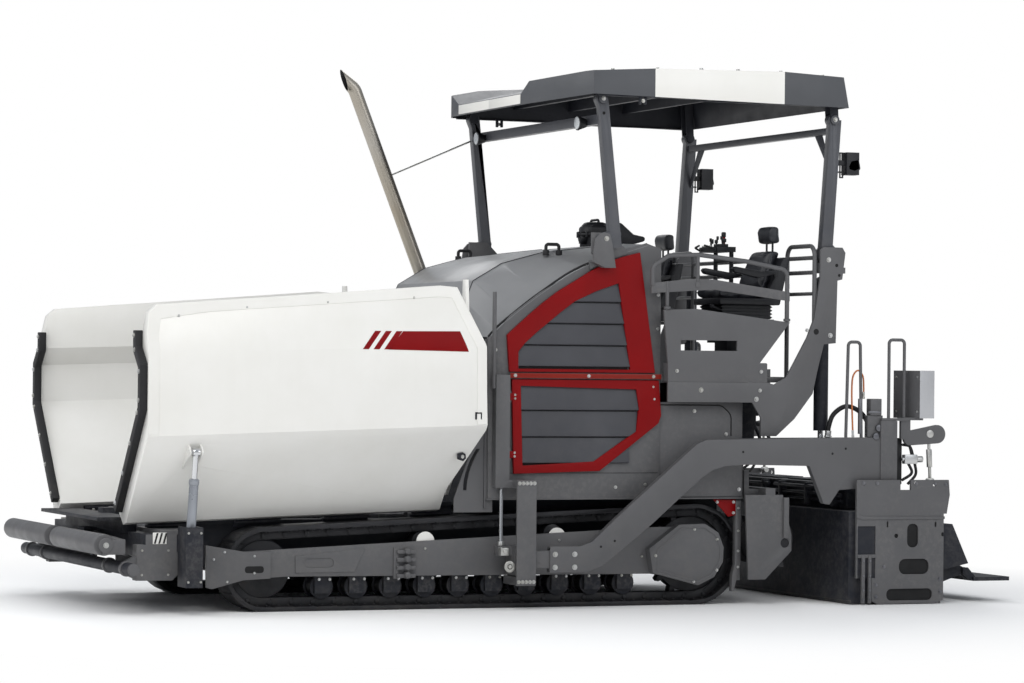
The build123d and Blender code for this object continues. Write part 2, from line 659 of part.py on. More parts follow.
with BuildPart() as dash_cover:
    side_plate([(-820 - seat_gap, 2868), (-935, 2884), (-1043, 2795), (-1140, 2777), (-1140, 2745),
                (-980, 2700), (-820 - seat_gap, 2640)], -480, 0)
finish("dash_cover", dash_cover.part)

# --- operator platform: floor, side steps and lower side panels ------

ledge_x, ledge_z = (-1540, -728), (1660, 1800)
side_panel = [(-690, 2190), (-960, 2200), (-1725, 2110), (-1460, 1780), (-728, 1780)]
side_panel_slot = [(-830, 1892), (-1290, 1892), (-1290, 1968), (-830, 1968)]
floor_low_z = body_shoulder_z + seat_gap
with BuildPart() as operator_platform:
    block((floor_rear_x, firewall_x - seat_gap), (-floor_half, floor_half), (floor_z - 40, floor_z))
    block((floor_lip_x, floor_rear_x), (-1000, 1000), (floor_z - 40, floor_z))
    for x in (-1388, -1150):
        block((x, x + 60), (-900, 900), (floor_low_z, floor_z - 30))
    for name, sign in SIDES:
        side_block((body_rear_x - 40, firewall_x - seat_gap), (1130, 1219), (floor_low_z, floor_z), sign)
finish("operator_platform", operator_platform.part)

with BuildPart() as platform_side_panels:
    for name, sign in SIDES:
        side_block(ledge_x, (floor_half + seat_gap, panel_y[1]), (ledge_z[0] + seat_gap, ledge_z[1]), sign)
        mirrored_plate(side_panel, *panel_y, sign)
        mirrored_plate(side_panel_slot, panel_y[0] - 5, panel_y[1] + 5, sign, Mode.SUBTRACT)
finish("platform_side_panels", platform_side_panels.part)

# --- rails round the platform ------

rail_radius = 19
rail_y = (panel_y[0] + panel_y[1]) / 2
rail_path = [(-600, 2370), (-600, 2510), (-730, 2590), (-980, 2600), (-1360, 2560), (-1703, 2500),
             (-1703, 2115 + seat_gap)]
mid_rail = [(-590, 2385), (-914, 2421), (-1100, 2420), (-1723, 2337), (-1723, 2269), (-1100, 2345),
            (-590, 2311)]
rail_post_x = -965
rear_rail_x, rear_rail_radius = -1945, 17
rear_rail_top_z = 2690
rear_rail_y = (850, panel_y[0] - rear_rail_radius - seat_gap)
with BuildPart() as platform_rails:
    for name, sign in SIDES:
        bent_tube([(x, sign * rail_y, z) for x, z in rail_path], 60, rail_radius - 2)
        mirrored_plate(mid_rail, rail_y - 6, rail_y + 6, sign)
        rod((-720, sign * rail_y, 2192 + seat_gap), (-720, sign * rail_y, 2400), 14)
        rod((rail_post_x, sign * rail_y, 2400), (rail_post_x, sign * rail_y, 2595), 15)
        inner, outer = sign * rear_rail_y[0], sign * rear_rail_y[1]
        bent_tube([(rear_rail_x, inner, floor_z + seat_gap), (rear_rail_x, inner, rear_rail_top_z),
                   (rear_rail_x, outer, rear_rail_top_z), (rear_rail_x, outer, 2120)], 80, rear_rail_radius)
        cross_rod(rear_rail_x, 2330, *sorted((sign * rear_rail_y[0], sign * rear_rail_y[1])), 14)
    for z in (2490, 2600):
        cross_rod(rear_rail_x, z, -rear_rail_y[1], rear_rail_y[1], 16)
finish("platform_rails", platform_rails.part)

# --- side frames behind the platform: they hold the lift cylinders and the rear posts ------

side_frame_outline = [
    (-728, 1659), (-1540, 1659), (-1600, 1645), (-1700, 1700), (-1870, 2000), (-1930, 2150), (-1975, 2450),
    (-1975, 2655), (-2000, 2680), (-2160, 2680), (-2185, 2640), (-2160, 2440), (-2120, 2430), (-2110, 1960),
    (-2010, 1950), (-1960, 1760), (-1920, 1580), (-1770, 1390), (-1620, 1260), (-1490, 1260), (-1490, 1400),
    (-1420, 1510), (-728, 1510),
]
rear_base_outline = [(-1975, 2485), (-1975, 2560), (-2010, 2560), (-2055, 2530), (-2185, 2530), (-2185, 2485)]
rear_inner_cheek = [(-1980, 2485), (-1980, 2650), (-2010, 2680), (-2150, 2680), (-2182, 2640), (-2182, 2485)]
lift_pin_radius = 16
with BuildPart() as side_frames:
    for name, sign in SIDES:
        mirrored_plate(side_frame_outline, *panel_y, sign)
        mirrored_plate(rear_inner_cheek, inner_cheek_y[0] + 7, inner_cheek_y[1], sign)
        mirrored_plate(rear_base_outline, inner_cheek_y[0] + 7, panel_y[1], sign)
        pin_ends = sorted((sign * inner_cheek_y[0], sign * panel_y[1]))
        cross_rod(rear_pin_x, rear_pin_z, *pin_ends, post_pin_radius)
        cross_rod(lift_x, lift_pin_z, *sorted((sign * (lift_y - 60), sign * panel_y[1])), lift_pin_radius)
        mirrored_plate([(-1400, 1510), (-1400, 1651), (-1200, 1651), (-1200, 1510)],
                       1220 + seat_gap, 1330, sign)
finish("side_frames", side_frames.part)

# --- seats and console ------

seat_width = 480
pedestal_half = 110
seat_profile = [(-1220, 2240), (-1220, 2290), (-1590, 2290), (-1745, 2600), (-1800, 2600), (-1720, 2240)]
cushion_profile = [(-1215, 2290 + seat_gap), (-1205, 2360), (-1240, 2375), (-1560, 2365), (-1632, 2500),
                   (-1676, 2662), (-1700, 2672), (-1772, 2672), (-1780, 2640), (-1780, 2600 + seat_gap),
                   (-1745 + seat_gap, 2600 + seat_gap), (-1590 + seat_gap, 2290 + seat_gap)]
back_top_half = 150                  # half width of the backrest at its top edge
headrest_x, headrest_z, headrest_half = (-1790, -1694), (2698, 2848), 125
for name, sign in SIDES:
    with BuildPart() as seat:
        side_plate(seat_profile, sign * seat_y - seat_width / 2, sign * seat_y + seat_width / 2)
        block((-1620, -1340), (sign * seat_y - pedestal_half, sign * seat_y + pedestal_half),
              (floor_z + seat_gap, 2250))
    finish(f"seat_{name}", seat.part)
    cushion_half = seat_width / 2 - 5
    with BuildPart() as cushion:
        side_plate(cushion_profile, sign * seat_y - cushion_half, sign * seat_y + cushion_half)
        for edge in (-1, 1):
            with BuildSketch(Plane.YZ.offset(-1900)) as corner:
                with BuildLine():
                    Polyline((sign * seat_y + edge * (cushion_half + 5), 2510),
                             (sign * seat_y + edge * (cushion_half + 5), 2700),
                             (sign * seat_y + edge * back_top_half, 2700), close=True)
                make_face()
            extrude(corner.sketch, amount=300, mode=Mode.SUBTRACT)
        block((-1760, -1725), (sign * seat_y - 60, sign * seat_y + 60), (2660, 2710))
        block(headrest_x, (sign * seat_y - headrest_half, sign * seat_y + headrest_half), headrest_z)
    finish(f"seat_cushion_{name}", cushion.part)

console_y, console_half = 420, 165
console_leg_x, console_leg_y, console_leg_radius = -1610, 140, 17
with BuildPart() as control_console:
    block((-1635, -1480), (console_y - console_half, console_y + console_half), (2655, 2695))
    for offset in (-console_leg_y, console_leg_y):
        leg_y = console_y + offset
        rod((console_leg_x, leg_y, 1980), (console_leg_x, leg_y, 2665), console_leg_radius)
    cross_rod(console_leg_x, 2590, console_y - console_leg_y, console_y + console_leg_y, 14)
    block((-1650, -1560), (console_y - 175, console_y + 175), (1960, 2040))
    block((-1640, -1570), (console_y - 60, console_y + 60), (floor_z + seat_gap, 1980))
    rod((-1600, console_y + 20, 2690), (-1600, console_y + 20, 2805), 13)
finish("control_console", control_console.part)

# --- canopy: posts on pins and a roof that folds back level ------


def post(pin_x, pin_z, foot, head, sign):
    """One canopy post with an ear round each pin; foot and head are (rear x, front x, z)."""
    low, high = sorted((sign * post_y[0], sign * post_y[1]))
    top_x, top_z = pin_x + post_lean, pin_z + post_rise
    side_plate([(foot[0], foot[2]), (foot[1], foot[2] - 20), (head[1], head[2]), (head[0], head[2])],
               low, high)
    rounded_bar((pin_x, pin_z), ((foot[0] + foot[1]) / 2, foot[2] + 90), (post_end_radius, 34), low, high)
    rounded_bar((top_x, top_z), ((head[0] + head[1]) / 2, head[2] - 60), (post_end_radius, 30), low, high)
    for x, z in ((pin_x, pin_z), (top_x, top_z)):
        cross_rod(x, z, low - 1, high + 1, post_pin_radius + running_gap, Mode.SUBTRACT)


front_foot, front_head = (-355, -275, 2648), (-236, -164, 3730)
rear_foot, rear_head = (-2084, -1990, 2610), (-2152, -2062, 3640)
front_beam_x, front_beam_z, front_beam_half = -218, 3583, (30, 36)
with BuildPart() as front_posts:
    for name, sign in SIDES:
        post(front_pin_x, front_pin_z, front_foot, front_head, sign)
    block((front_beam_x - front_beam_half[0], front_beam_x + front_beam_half[0]),
          (-post_y[0] - 5, post_y[0] + 5),
          (front_beam_z - front_beam_half[1], front_beam_z + front_beam_half[1]))
finish("front_posts", front_posts.part)

rear_beam_x, rear_beam_z, rear_beam_half = -2100, 3560, 25
lamp_x, lamp_z = (-2300, -2195), (3230, 3400)
with BuildPart() as rear_posts:
    for name, sign in SIDES:
        post(rear_pin_x, rear_pin_z, rear_foot, rear_head, sign)
        side_block(lamp_x, (1240, 1335), lamp_z, sign)
        side_block((lamp_x[1] - 20, -2120), (1270, 1305), (3300, 3340), sign)
    block((rear_beam_x - rear_beam_half, rear_beam_x + rear_beam_half), (-post_y[0] - 5, post_y[0] + 5),
          (rear_beam_z - rear_beam_half, rear_beam_z + rear_beam_half))
finish("rear_posts", rear_posts.part)

# roof: outlines in X and Z, and in X and Y; the front middle is a lower visor between raised sides
roof_sheet = 14
roof_top_line = [(roof_front_x, 3880), (-36, 3922), (-556, 3955), (-1100, 3970), (-1611, 3974), (-2105, 3952)]
roof_low_line = [(roof_rear_x, 3723), (-70, 3752), (roof_front_x, 3712)]
roof_plan = [(roof_front_x, 798), (-65, roof_half_width), (roof_rear_x, roof_half_width),
             (roof_rear_x, -roof_half_width), (-65, -roof_half_width), (roof_front_x, -798)]
inner_plan = [(roof_front_x - roof_sheet, 792), (-72, roof_half_width - roof_sheet),
              (roof_rear_x + roof_sheet, roof_half_width - roof_sheet),
              (roof_rear_x + roof_sheet, roof_sheet - roof_half_width),
              (-72, roof_sheet - roof_half_width), (roof_front_x - roof_sheet, -792)]
visor_line = [(roof_front_x + 20, 3792), (-110, 3870), (-1100, 3980)]
visor_rise, visor_slant = 83, 160            # the step beside the visor: its height and its width
roof_ribs_x = (-620, -1100, -1580)


def plan_prism(points, z_low, z_high, mode=Mode.ADD):
    """A plate lying flat, from its outline in X and Y."""
    with BuildSketch(Plane.XY.offset(z_low)) as face:
        with BuildLine():
            Polyline(*points, close=True)
        make_face()
    extrude(face.sketch, amount=z_high - z_low, mode=mode)


def visor_room(drop, mode):
    """What is cut away over the visor, lowered by drop and widened as much."""
    sections = []
    for x, z in visor_line:
        low, high = z - drop, 4100
        half = visor_half_width + drop
        spread = half + (high - low) * visor_slant / visor_rise
        with BuildSketch(Plane.YZ.offset(x)) as section:
            with BuildLine():
                Polyline((-half, low), (half, low), (spread, high), (-spread, high), close=True)
            make_face()
        sections.append(section.sketch)
    loft(sections, ruled=True, mode=mode)


def roof_top_z(x):
    """Height of the roof's outer surface over x, beside the visor."""
    for (front, front_z), (rear, rear_z) in zip(roof_top_line, roof_top_line[1:]):
        if front >= x >= rear:
            return front_z + (x - front) / (rear - front) * (rear_z - front_z)


with BuildPart() as roof_hollow:
    side_plate([(x, z - roof_sheet) for x, z in roof_top_line] + [(x, 3600) for x, z in roof_low_line],
               -roof_half_width, roof_half_width)
    plan_prism(inner_plan, 3500, 4100, Mode.INTERSECT)
    visor_room(roof_sheet, Mode.SUBTRACT)
    for x in roof_ribs_x:
        block((x - 20, x + 20), (-roof_half_width, roof_half_width), (3840, 4100), Mode.SUBTRACT)
with BuildPart() as canopy_roof:
    side_plate(roof_top_line + roof_low_line, -roof_half_width, roof_half_width)
    plan_prism(roof_plan, 3600, 4100, Mode.INTERSECT)
    visor_room(0, Mode.SUBTRACT)
    add(roof_hollow.part, mode=Mode.SUBTRACT)
    for name, sign in SIDES:
        for pin_x, pin_z in ((front_pin_x, front_pin_z), (rear_pin_x, rear_pin_z)):
            x, z = pin_x + post_lean, pin_z + post_rise
            for low, high in ((post_y[0] - 14, post_y[0] - seat_gap), (post_y[1] + seat_gap, post_y[1] + 14)):
                low, high = sorted((sign * low, sign * high))
                side_plate([(x - 31, z), (x + 31, z), (x + 55, roof_top_z(x + 55) - roof_sheet / 2),
                            (x - 15, roof_top_z(x - 15) - roof_sheet / 2)], low, high)
                cross_rod(x, z, low, high, 32)
            ends = sorted((sign * (post_y[0] - 14), sign * (post_y[1] + 14)))
            cross_rod(x, z, *ends, post_pin_radius)
finish("canopy_roof", canopy_roof.part)

# --- tow points: fixed guides with the levelling cylinders, and the carriages that slide in them ------

guide_x, guide_z = (361, 511), (180, 940)
guide_arm_x = (370, 490)
guide_plate_y = (1450, 1470)
level_box_x, level_box_y, level_box_z = (514, 622), (1246, 1320), (880, 1700)
level_rod_x, level_rod_y, level_rod_radius = 562, 1283, 14
with BuildPart() as tow_guides:
    for name, sign in SIDES:
        side_block(guide_x, guide_plate_y, guide_z, sign)
        side_block(guide_arm_x, (beam_outer_y + seat_gap, guide_plate_y[0]), (guide_z[0], 240), sign)
        side_block((guide_x[0], level_box_x[1]), (side_y + seat_gap, level_box_y[1]), (880, guide_z[1]), sign)
        side_block(guide_arm_x, (level_box_y[1] - 10, guide_plate_y[0]), (880, guide_z[1]), sign)
        side_block(level_box_x, level_box_y, level_box_z, sign)
        rod((level_rod_x, sign * level_rod_y, 870), (level_rod_x, sign * level_rod_y, 1640),
            level_rod_radius + running_gap, Mode.SUBTRACT)
        rod((635, sign * 1300, 1600), (635, sign * 1300, 2300), 15)
finish("tow_guides", tow_guides.part)

carriage_x, carriage_y, carriage_z = (370, 490), (1200, 1382), (250, 460)
tow_pin_radius, tow_eye_radius = 30, 60
with BuildPart() as tow_carriages:
    for name, sign in SIDES:
        side_block(carriage_x, carriage_y, carriage_z, sign)
        side_block((470, 600), (level_rod_y - 35, level_rod_y + 35), (390, carriage_z[1]), sign)
        rod((level_rod_x, sign * level_rod_y, 440), (level_rod_x, sign * level_rod_y, 1400), level_rod_radius)
        pin_ends = sorted((sign * 1370, sign * (guide_plate_y[0] - running_gap)))
        cross_rod(tow_x, tow_z, *pin_ends, tow_pin_radius)
finish("tow_carriages", tow_carriages.part)

# --- tow arms ------

arm_outline = [
    (240, 460), (0, 460), (-90, 490), (-280, 660), (-700, 1010), (-920, 1200), (-1000, 1235), (-1530, 1250),
    (-2450, 1255), (-2450, 870), (-2260, 870), (-2100, 860), (-2020, 750), (-1970, 760), (-1850, 1040),
    (-1330, 1050), (-1160, 1040), (-1050, 1010), (-960, 950), (-560, 610), (-180, 320), (-50, 270),
    (240, 270),
]
tongue_y = (1390, 1430)
arm_post_x, arm_post_y, arm_post_z = (-2580, -2440), (1400, 1460), (870, 1380)
lift_lug = [(-2115, 1120), (-2115, 1215), (-2080, 1245), (-2045, 1215), (-2045, 1120)]
lift_lug_y = (1226, 1250)
with BuildPart() as tow_arms:
    for name, sign in SIDES:
        mirrored_plate(arm_outline, *arm_y, sign)
        mirrored_plate([(150, 300), (150, 430), (tow_x, 425), (tow_x, 305)], *tongue_y, sign)
        cross_rod(tow_x, tow_z, *sorted((sign * tongue_y[0], sign * tongue_y[1])), tow_eye_radius)
        cross_rod(tow_x, tow_z, *sorted((sign * 1380, sign * 1440)), tow_pin_radius + running_gap,
                  Mode.SUBTRACT)
        side_block(arm_post_x, arm_post_y, arm_post_z, sign)
        mirrored_plate(lift_lug, *lift_lug_y, sign)
        side_block((-2115, -2045), (lift_lug_y[0], arm_y[0] + 5), (1090, 1150), sign)
finish("tow_arms", tow_arms.part)

# --- screed: rigid middle part, extensions on guide tubes, end gates and walkways ------

mould_low_z, screed_low_z, screed_top_z = 30, 5, 700
guide_end_y, centre_half = 1430, 50
with BuildPart() as screed_frame:
    block((screed_front_x, screed_front_x - 24), (-screed_y, screed_y), (mould_low_z, screed_top_z))
    block((screed_front_x - 20, screed_rear_x), (-screed_y, screed_y), (screed_low_z, screed_top_z))
    block((screed_rear_x, -2940), (-centre_half, centre_half), (60, 560))
    for x, z in guide_tubes:
        cross_rod(x, z, -guide_end_y, guide_end_y, guide_tube_radius)
    for name, sign in SIDES:
        side_block((-2540, -2270), (1385, 1445), (screed_top_z - 5, 870 - seat_gap), sign)
finish("screed_frame", screed_frame.part)

extension_y = (70, 1455)
extension_profile = [
    (extension_front_x, 5), (-2960, 5), (-2960, 250), (-3200, 300), (-3060, 600), (extension_front_x, 600),
]
extension_inner = [
    (extension_front_x - 20, 40), (-2940, 40), (-2940, 266), (-3170, 314), (-3046, 580),
    (extension_front_x - 20, 580),
]
walkway_pivot_x, walkway_pivot_z, walkway_pin_radius = -3230, 240, 12
walkway_hinge_ys = (160, 1320)
walkway_lug = [(-2950, 120), (-2950, 240), (-3170, 290), (-3230, 262), (-3256, 240), (-3230, 214),
               (-3150, 190)]
for name, sign in SIDES:
    with BuildPart() as extension:
        mirrored_plate(extension_profile, *extension_y, sign)
        mirrored_plate(extension_inner, extension_y[0] + 20, extension_y[1] - 20, sign, Mode.SUBTRACT)
        for x, z in guide_tubes:
            cross_rod(x, z, *sorted((sign * 60, sign * (guide_end_y + 5))), guide_tube_radius + running_gap,
                      Mode.SUBTRACT)
        for y in walkway_hinge_ys:
            mirrored_plate(walkway_lug, y - 10, y + 10, sign)
            cross_rod(walkway_pivot_x, walkway_pivot_z, *sorted((sign * (y - 36), sign * (y + 36))),
                      walkway_pin_radius)
    finish(f"screed_extension_{name}", extension.part)

gate_lower = [(-2220, 200), (-2220, 690), (-2960, 690), (-2960, 30), (-2900, 5), (-2400, 5), (-2350, 30),
              (-2350, 200)]
gate_upper = [(-2220, 680), (-2220, 936), (-2588, 936), (-2588, 861), (-2677, 861), (-2677, 936), (-3001, 936),
              (-3010, 822), (-2985, 680)]
gate_recess = [(-2230, 200), (-2230, 590), (-2380, 590), (-2380, 200)]
gate_holes = [(-2280, 910), (-2390, 910), (-2720, 910), (-2880, 900), (-2980, 900)]
for name, sign in SIDES:
    with BuildPart() as gate:
        mirrored_plate(gate_lower, *gate_y, sign)
        mirrored_plate(gate_upper, *gate_y, sign)
        mirrored_plate(gate_recess, gate_y[1] - 8, gate_y[1] + 1, sign, Mode.SUBTRACT)
        for x, z in gate_holes:
            cross_rod(x, z, *sorted((sign * (gate_y[0] - 1), sign * (gate_y[1] + 1))), 14, Mode.SUBTRACT)
        side_block((-2900, -2680), (extension_y[1] + seat_gap, gate_y[0]), (160, 520), sign)
    finish(f"end_gate_{name}", gate.part)

blade_x, blade_y, blade_z = (-3600, -3290), (80, 1380), (160, 190)
walkway_arm = [(-3210, 262), (-3255, 262), (-3320, 190), (-3320, 162), (-3280, 162), (-3210, 214)]
for name, sign in SIDES:
    with BuildPart() as walkway:
        side_block(blade_x, blade_y, blade_z, sign)
        for y in walkway_hinge_ys:
            for low in (y - 34, y + 16):
                mirrored_plate(walkway_arm, low, low + 18, sign)
            cross_rod(walkway_pivot_x, walkway_pivot_z, *sorted((sign * (y - 40), sign * (y + 40))),
                      walkway_pin_radius + running_gap, Mode.SUBTRACT)
    finish(f"walkway_{name}", walkway.part)

# --- screed controls: rails and a cabinet on each arm's end post ------

control_rail_radius, control_rail_y = 12, 1425
cabinet_size, cabinet_middle, cabinet_turn = (150, 290, 360), (-2778, 1345, 1580), 15
with BuildPart() as screed_controls:
    for name, sign in SIDES:
        y = sign * control_rail_y
        bent_tube([(-2160, y, 1254.5), (-2175, y, 1970), (-2275, y, 1970), (-2290, y, 1254.5)],
                  30, control_rail_radius)
        bent_tube([(-2650, y, 1384), (-2650, y, 1990), (-2520, y, 1990), (-2520, y, 1384)], 30,
                  control_rail_radius)
        side_block((-2670, -2450), (1395, 1455), (1380 + seat_gap, 1400), sign)
        side_block((-2800, -2640), (1340, 1455), (1385, 1405), sign)
        with Locations(Location((cabinet_middle[0], sign * cabinet_middle[1], cabinet_middle[2]),
                                (0, 0, sign * cabinet_turn))):
            Box(*cabinet_size)
        rounded_bar((-2700, 1250), (-2930, 1280), (55, 70), *sorted((sign * 1410, sign * 1440)))
        side_block((-2700, -2620), (1410, 1440), (1240, 1400), sign)
finish("screed_controls", screed_controls.part)

# --- augers and the frame that carries them ------

bearing_outline = [(-1390, 820), (-1700, 820), (-1775, 520), (-1775, 400), (-1560, 190), (-1420, 190)]
auger_shaft_radius, flight_tilt, flight_thickness = 35, 21.5, 12
bearing_y = (1284, 1304)
with BuildPart() as auger_frame:
    block((-1640, -1560), (-1300, 1300), (790, 870))
    block((-1700, -1580), (-60, 60), (500, 800))
    block((-1800, -1640), (-84, 84), (375, 545))
    for name, sign in SIDES:
        side_block((auger_guide_x - running_gap, -1480), (1085, 1175), (770, 1000), sign)
        side_block((-1480, -1560), (1085, 1175), (800, 860), sign)
        mirrored_plate(bearing_outline, *bearing_y, sign)
        side_block((-1740, -1700), (bearing_y[1] - 4, 1330), (500, 800), sign)
        cross_rod(auger_x, auger_z, *sorted((sign * 1270, sign * 1310)), auger_shaft_radius + running_gap,
                  Mode.SUBTRACT)
finish("auger_frame", auger_frame.part)

half_turn = auger_pitch / 2
flight_count = int((auger_y[1] - auger_y[0]) / half_turn)
for name, sign in SIDES:
    with BuildPart() as auger:
        cross_rod(auger_x, auger_z, *sorted((sign * (84 + seat_gap), sign * (bearing_y[1] - 4))),
                  auger_shaft_radius)
        for count in range(flight_count):
            y = sign * (auger_y[0] + half_turn * (count + 0.5))
            side = 1 if count % 2 else -1
            lean = side * radians(flight_tilt)
            face = Plane(origin=(auger_x, y, auger_z), x_dir=(1, 0, 0), z_dir=(0, cos(lean), sin(lean)))
            with BuildSketch(face) as flight:
                Circle(auger_radius)
                with Locations((side * auger_radius, 0)):
                    Rectangle(2 * auger_radius + 12, 3 * auger_radius, mode=Mode.INTERSECT)
            extrude(flight.sketch, amount=flight_thickness / 2, both=True)
    finish(f"auger_{name}", auger.part)

# --- screed lift cylinders ------

lift_barrel_radius, lift_rod_radius, sleeve_radius = 42, 22, 55
with BuildPart() as lift_cylinder_barrels:
    for name, sign in SIDES:
        y = sign * lift_y
        rod((lift_x, y, 1750), (lift_x, y, lift_pin_z - 10), lift_barrel_radius)
        cross_rod(lift_x, lift_pin_z, y - 37, y + 37, 34)
        rod((lift_x, y, 1740), (lift_x, y, 2340), lift_rod_radius + running_gap, Mode.SUBTRACT)
        cross_rod(lift_x, lift_pin_z, y - 50, y + 50, lift_pin_radius + running_gap, Mode.SUBTRACT)
finish("lift_cylinder_barrels", lift_cylinder_barrels.part)

with BuildPart() as lift_cylinder_rods:
    for name, sign in SIDES:
        y = sign * lift_y
        rod((lift_x, y, 1300), (lift_x, y, 1970), sleeve_radius)
        rod((lift_x, y, 1320), (lift_x, y, 1980), sleeve_radius - 8, Mode.SUBTRACT)
        rod((lift_x, y, lift_eye_z), (lift_x, y, 2050), lift_rod_radius)
        cross_rod(lift_x, lift_eye_z, y - 37, y + 57, 40)
        cross_rod(lift_x, lift_eye_z, y - 40, y + 60, 20, Mode.SUBTRACT)
finish("lift_cylinder_rods", lift_cylinder_rods.part)
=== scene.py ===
import json
import math
import random
import bpy
from mathutils import Matrix, Vector

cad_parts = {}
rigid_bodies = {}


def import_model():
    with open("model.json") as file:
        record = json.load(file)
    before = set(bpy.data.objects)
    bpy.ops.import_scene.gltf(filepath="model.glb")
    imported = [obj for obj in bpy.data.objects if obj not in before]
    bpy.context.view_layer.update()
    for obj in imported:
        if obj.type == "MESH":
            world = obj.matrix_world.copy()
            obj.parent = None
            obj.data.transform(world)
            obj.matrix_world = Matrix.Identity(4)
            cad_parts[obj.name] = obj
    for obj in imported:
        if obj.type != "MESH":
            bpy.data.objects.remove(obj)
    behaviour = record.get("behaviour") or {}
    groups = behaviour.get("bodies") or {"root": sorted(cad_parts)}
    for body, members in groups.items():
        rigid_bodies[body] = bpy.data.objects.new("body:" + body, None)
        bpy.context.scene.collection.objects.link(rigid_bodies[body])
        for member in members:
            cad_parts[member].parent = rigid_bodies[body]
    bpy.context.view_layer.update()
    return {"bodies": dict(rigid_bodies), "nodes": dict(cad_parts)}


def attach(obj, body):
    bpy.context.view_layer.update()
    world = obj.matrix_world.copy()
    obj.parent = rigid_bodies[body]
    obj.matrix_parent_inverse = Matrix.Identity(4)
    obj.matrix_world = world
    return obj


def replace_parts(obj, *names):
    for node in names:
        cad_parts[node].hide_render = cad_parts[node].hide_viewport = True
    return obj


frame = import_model()
bpy.ops.object.select_all(action="DESELECT")
print("frame loaded")

sides = {"left": 1, "right": -1}


# --- small tools for pieces

def activate(piece):
    bpy.ops.object.select_all(action="DESELECT")
    piece.select_set(True)
    bpy.context.view_layer.objects.active = piece


def applyModifier(piece, kind, **settings):
    activate(piece)
    modifier = piece.modifiers.new("step", kind)
    for key, value in settings.items():
        setattr(modifier, key, value)
    bpy.ops.object.modifier_apply(modifier=modifier.name)


def roundEdges(piece, width, segments=2, angle=35):
    if width:
        applyModifier(piece, "BEVEL", width=width, segments=segments, limit_method="ANGLE",
                      angle_limit=math.radians(angle), use_clamp_overlap=True)
    activate(piece)
    bpy.ops.object.shade_smooth_by_angle(angle=math.radians(angle))
    return piece


def editAll(piece, *steps):
    # each step is an edit-mode operator and its settings, run with every face selected
    activate(piece)
    bpy.ops.object.mode_set(mode="EDIT")
    for operator, settings in steps:
        bpy.ops.mesh.select_all(action="SELECT")
        operator(**settings)
    bpy.ops.object.mode_set(mode="OBJECT")


def take(name):
    piece = bpy.context.object
    piece.name = name
    piece.data.name = name
    return piece


def settle(piece, body, paint):
    # last step of each piece: its material, and the body that carries it
    if paint is not None:
        piece.data.materials.clear()
        piece.data.materials.append(paint)
    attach(piece, body)
    return piece


def addBox(name, x, y, z, width=0.003):
    spans = [sorted(pair) for pair in (x, y, z)]
    middle = [(low + high) / 2 for low, high in spans]
    bpy.ops.mesh.primitive_cube_add(size=1, location=middle, scale=[high - low for low, high in spans])
    bpy.ops.object.transform_apply(location=False, rotation=False, scale=True)
    return roundEdges(take(name), width)


def addRod(name, start, end, radius, sides=24, width=0.002, endRadius=None):
    axis = Vector(end) - Vector(start)
    turn = Vector((0, 0, 1)).rotation_difference(axis)
    bpy.ops.mesh.primitive_cone_add(vertices=sides, radius1=radius,
                                    radius2=radius if endRadius is None else endRadius,
                                    depth=axis.length, location=(Vector(start) + Vector(end)) / 2,
                                    rotation=turn.to_euler())
    return roundEdges(take(name), width, angle=50)


def addPlate(name, outline, span, axis="y", width=0.003):
    # a flat plate: its outline in the two other axes, its thickness between two values along the axis
    bpy.ops.mesh.primitive_circle_add(vertices=len(outline), radius=1, fill_type="NGON")
    piece = take(name)
    low, high = sorted(span)
    for vertex, (first, second) in zip(piece.data.vertices, outline):
        vertex.co = {"x": (low, first, second), "y": (first, low, second), "z": (first, second, low)}[axis]
    move = {"x": (high - low, 0, 0), "y": (0, high - low, 0), "z": (0, 0, high - low)}[axis]
    editAll(piece, (bpy.ops.mesh.extrude_region_move, {"TRANSFORM_OT_translate": {"value": move}}),
            (bpy.ops.mesh.normals_make_consistent, {"inside": False}))
    return roundEdges(piece, width)


def filletPath(points, bend, steps=6):
    # straight runs joined by arcs of the given radius
    points = [Vector(point) for point in points]
    path = [points[0]]
    for before, corner, after in zip(points, points[1:], points[2:]):
        first, second = (before - corner).normalized(), (after - corner).normalized()
        half = first.angle(second) / 2
        reach = min(bend / math.tan(half), (before - corner).length * 0.49, (after - corner).length * 0.49)
        radius = reach * math.tan(half)
        centre = corner + (first + second).normalized() * radius / math.sin(half)
        start, end = corner + first * reach - centre, corner + second * reach - centre
        for count in range(steps + 1):
            path.append(centre + start.slerp(end, count / steps).normalized() * radius)
    path.append(points[-1])
    return path


def smoothPath(points, steps=8):
    # a curve that passes through all points, for hoses
    points = [Vector(point) for point in points]
    ends = [points[0] * 2 - points[1]] + points + [points[-1] * 2 - points[-2]]
    path = []
    for a, b, c, d in zip(ends, ends[1:], ends[2:], ends[3:]):
        for count in range(steps):
            t = count / steps
            path.append(0.5 * ((2 * b) + (c - a) * t + (2 * a - 5 * b + 4 * c - d) * t ** 2
                               + (3 * b - a - 3 * c + d) * t ** 3))
    path.append(points[-1])
    return path


def pathLength(path):
    return sum((b - a).length for a, b in zip(path, path[1:]))


def addTube(name, path, radius, resolution=4, bore=False):
    bpy.ops.curve.primitive_nurbs_path_add(location=(0, 0, 0))
    curve = bpy.context.object.data
    curve.splines.clear()
    line = curve.splines.new("POLY")
    line.points.add(len(path) - 1)
    for point, place in zip(line.points, path):
        point.co = (*place, 1)
    curve.dimensions = "3D"
    curve.bevel_depth = radius
    curve.bevel_resolution = resolution
    curve.use_fill_caps = not bore
    bpy.ops.object.convert(target="MESH")
    piece = take(name)
    activate(piece)
    bpy.ops.object.shade_smooth_by_angle(angle=math.radians(50))
    return piece


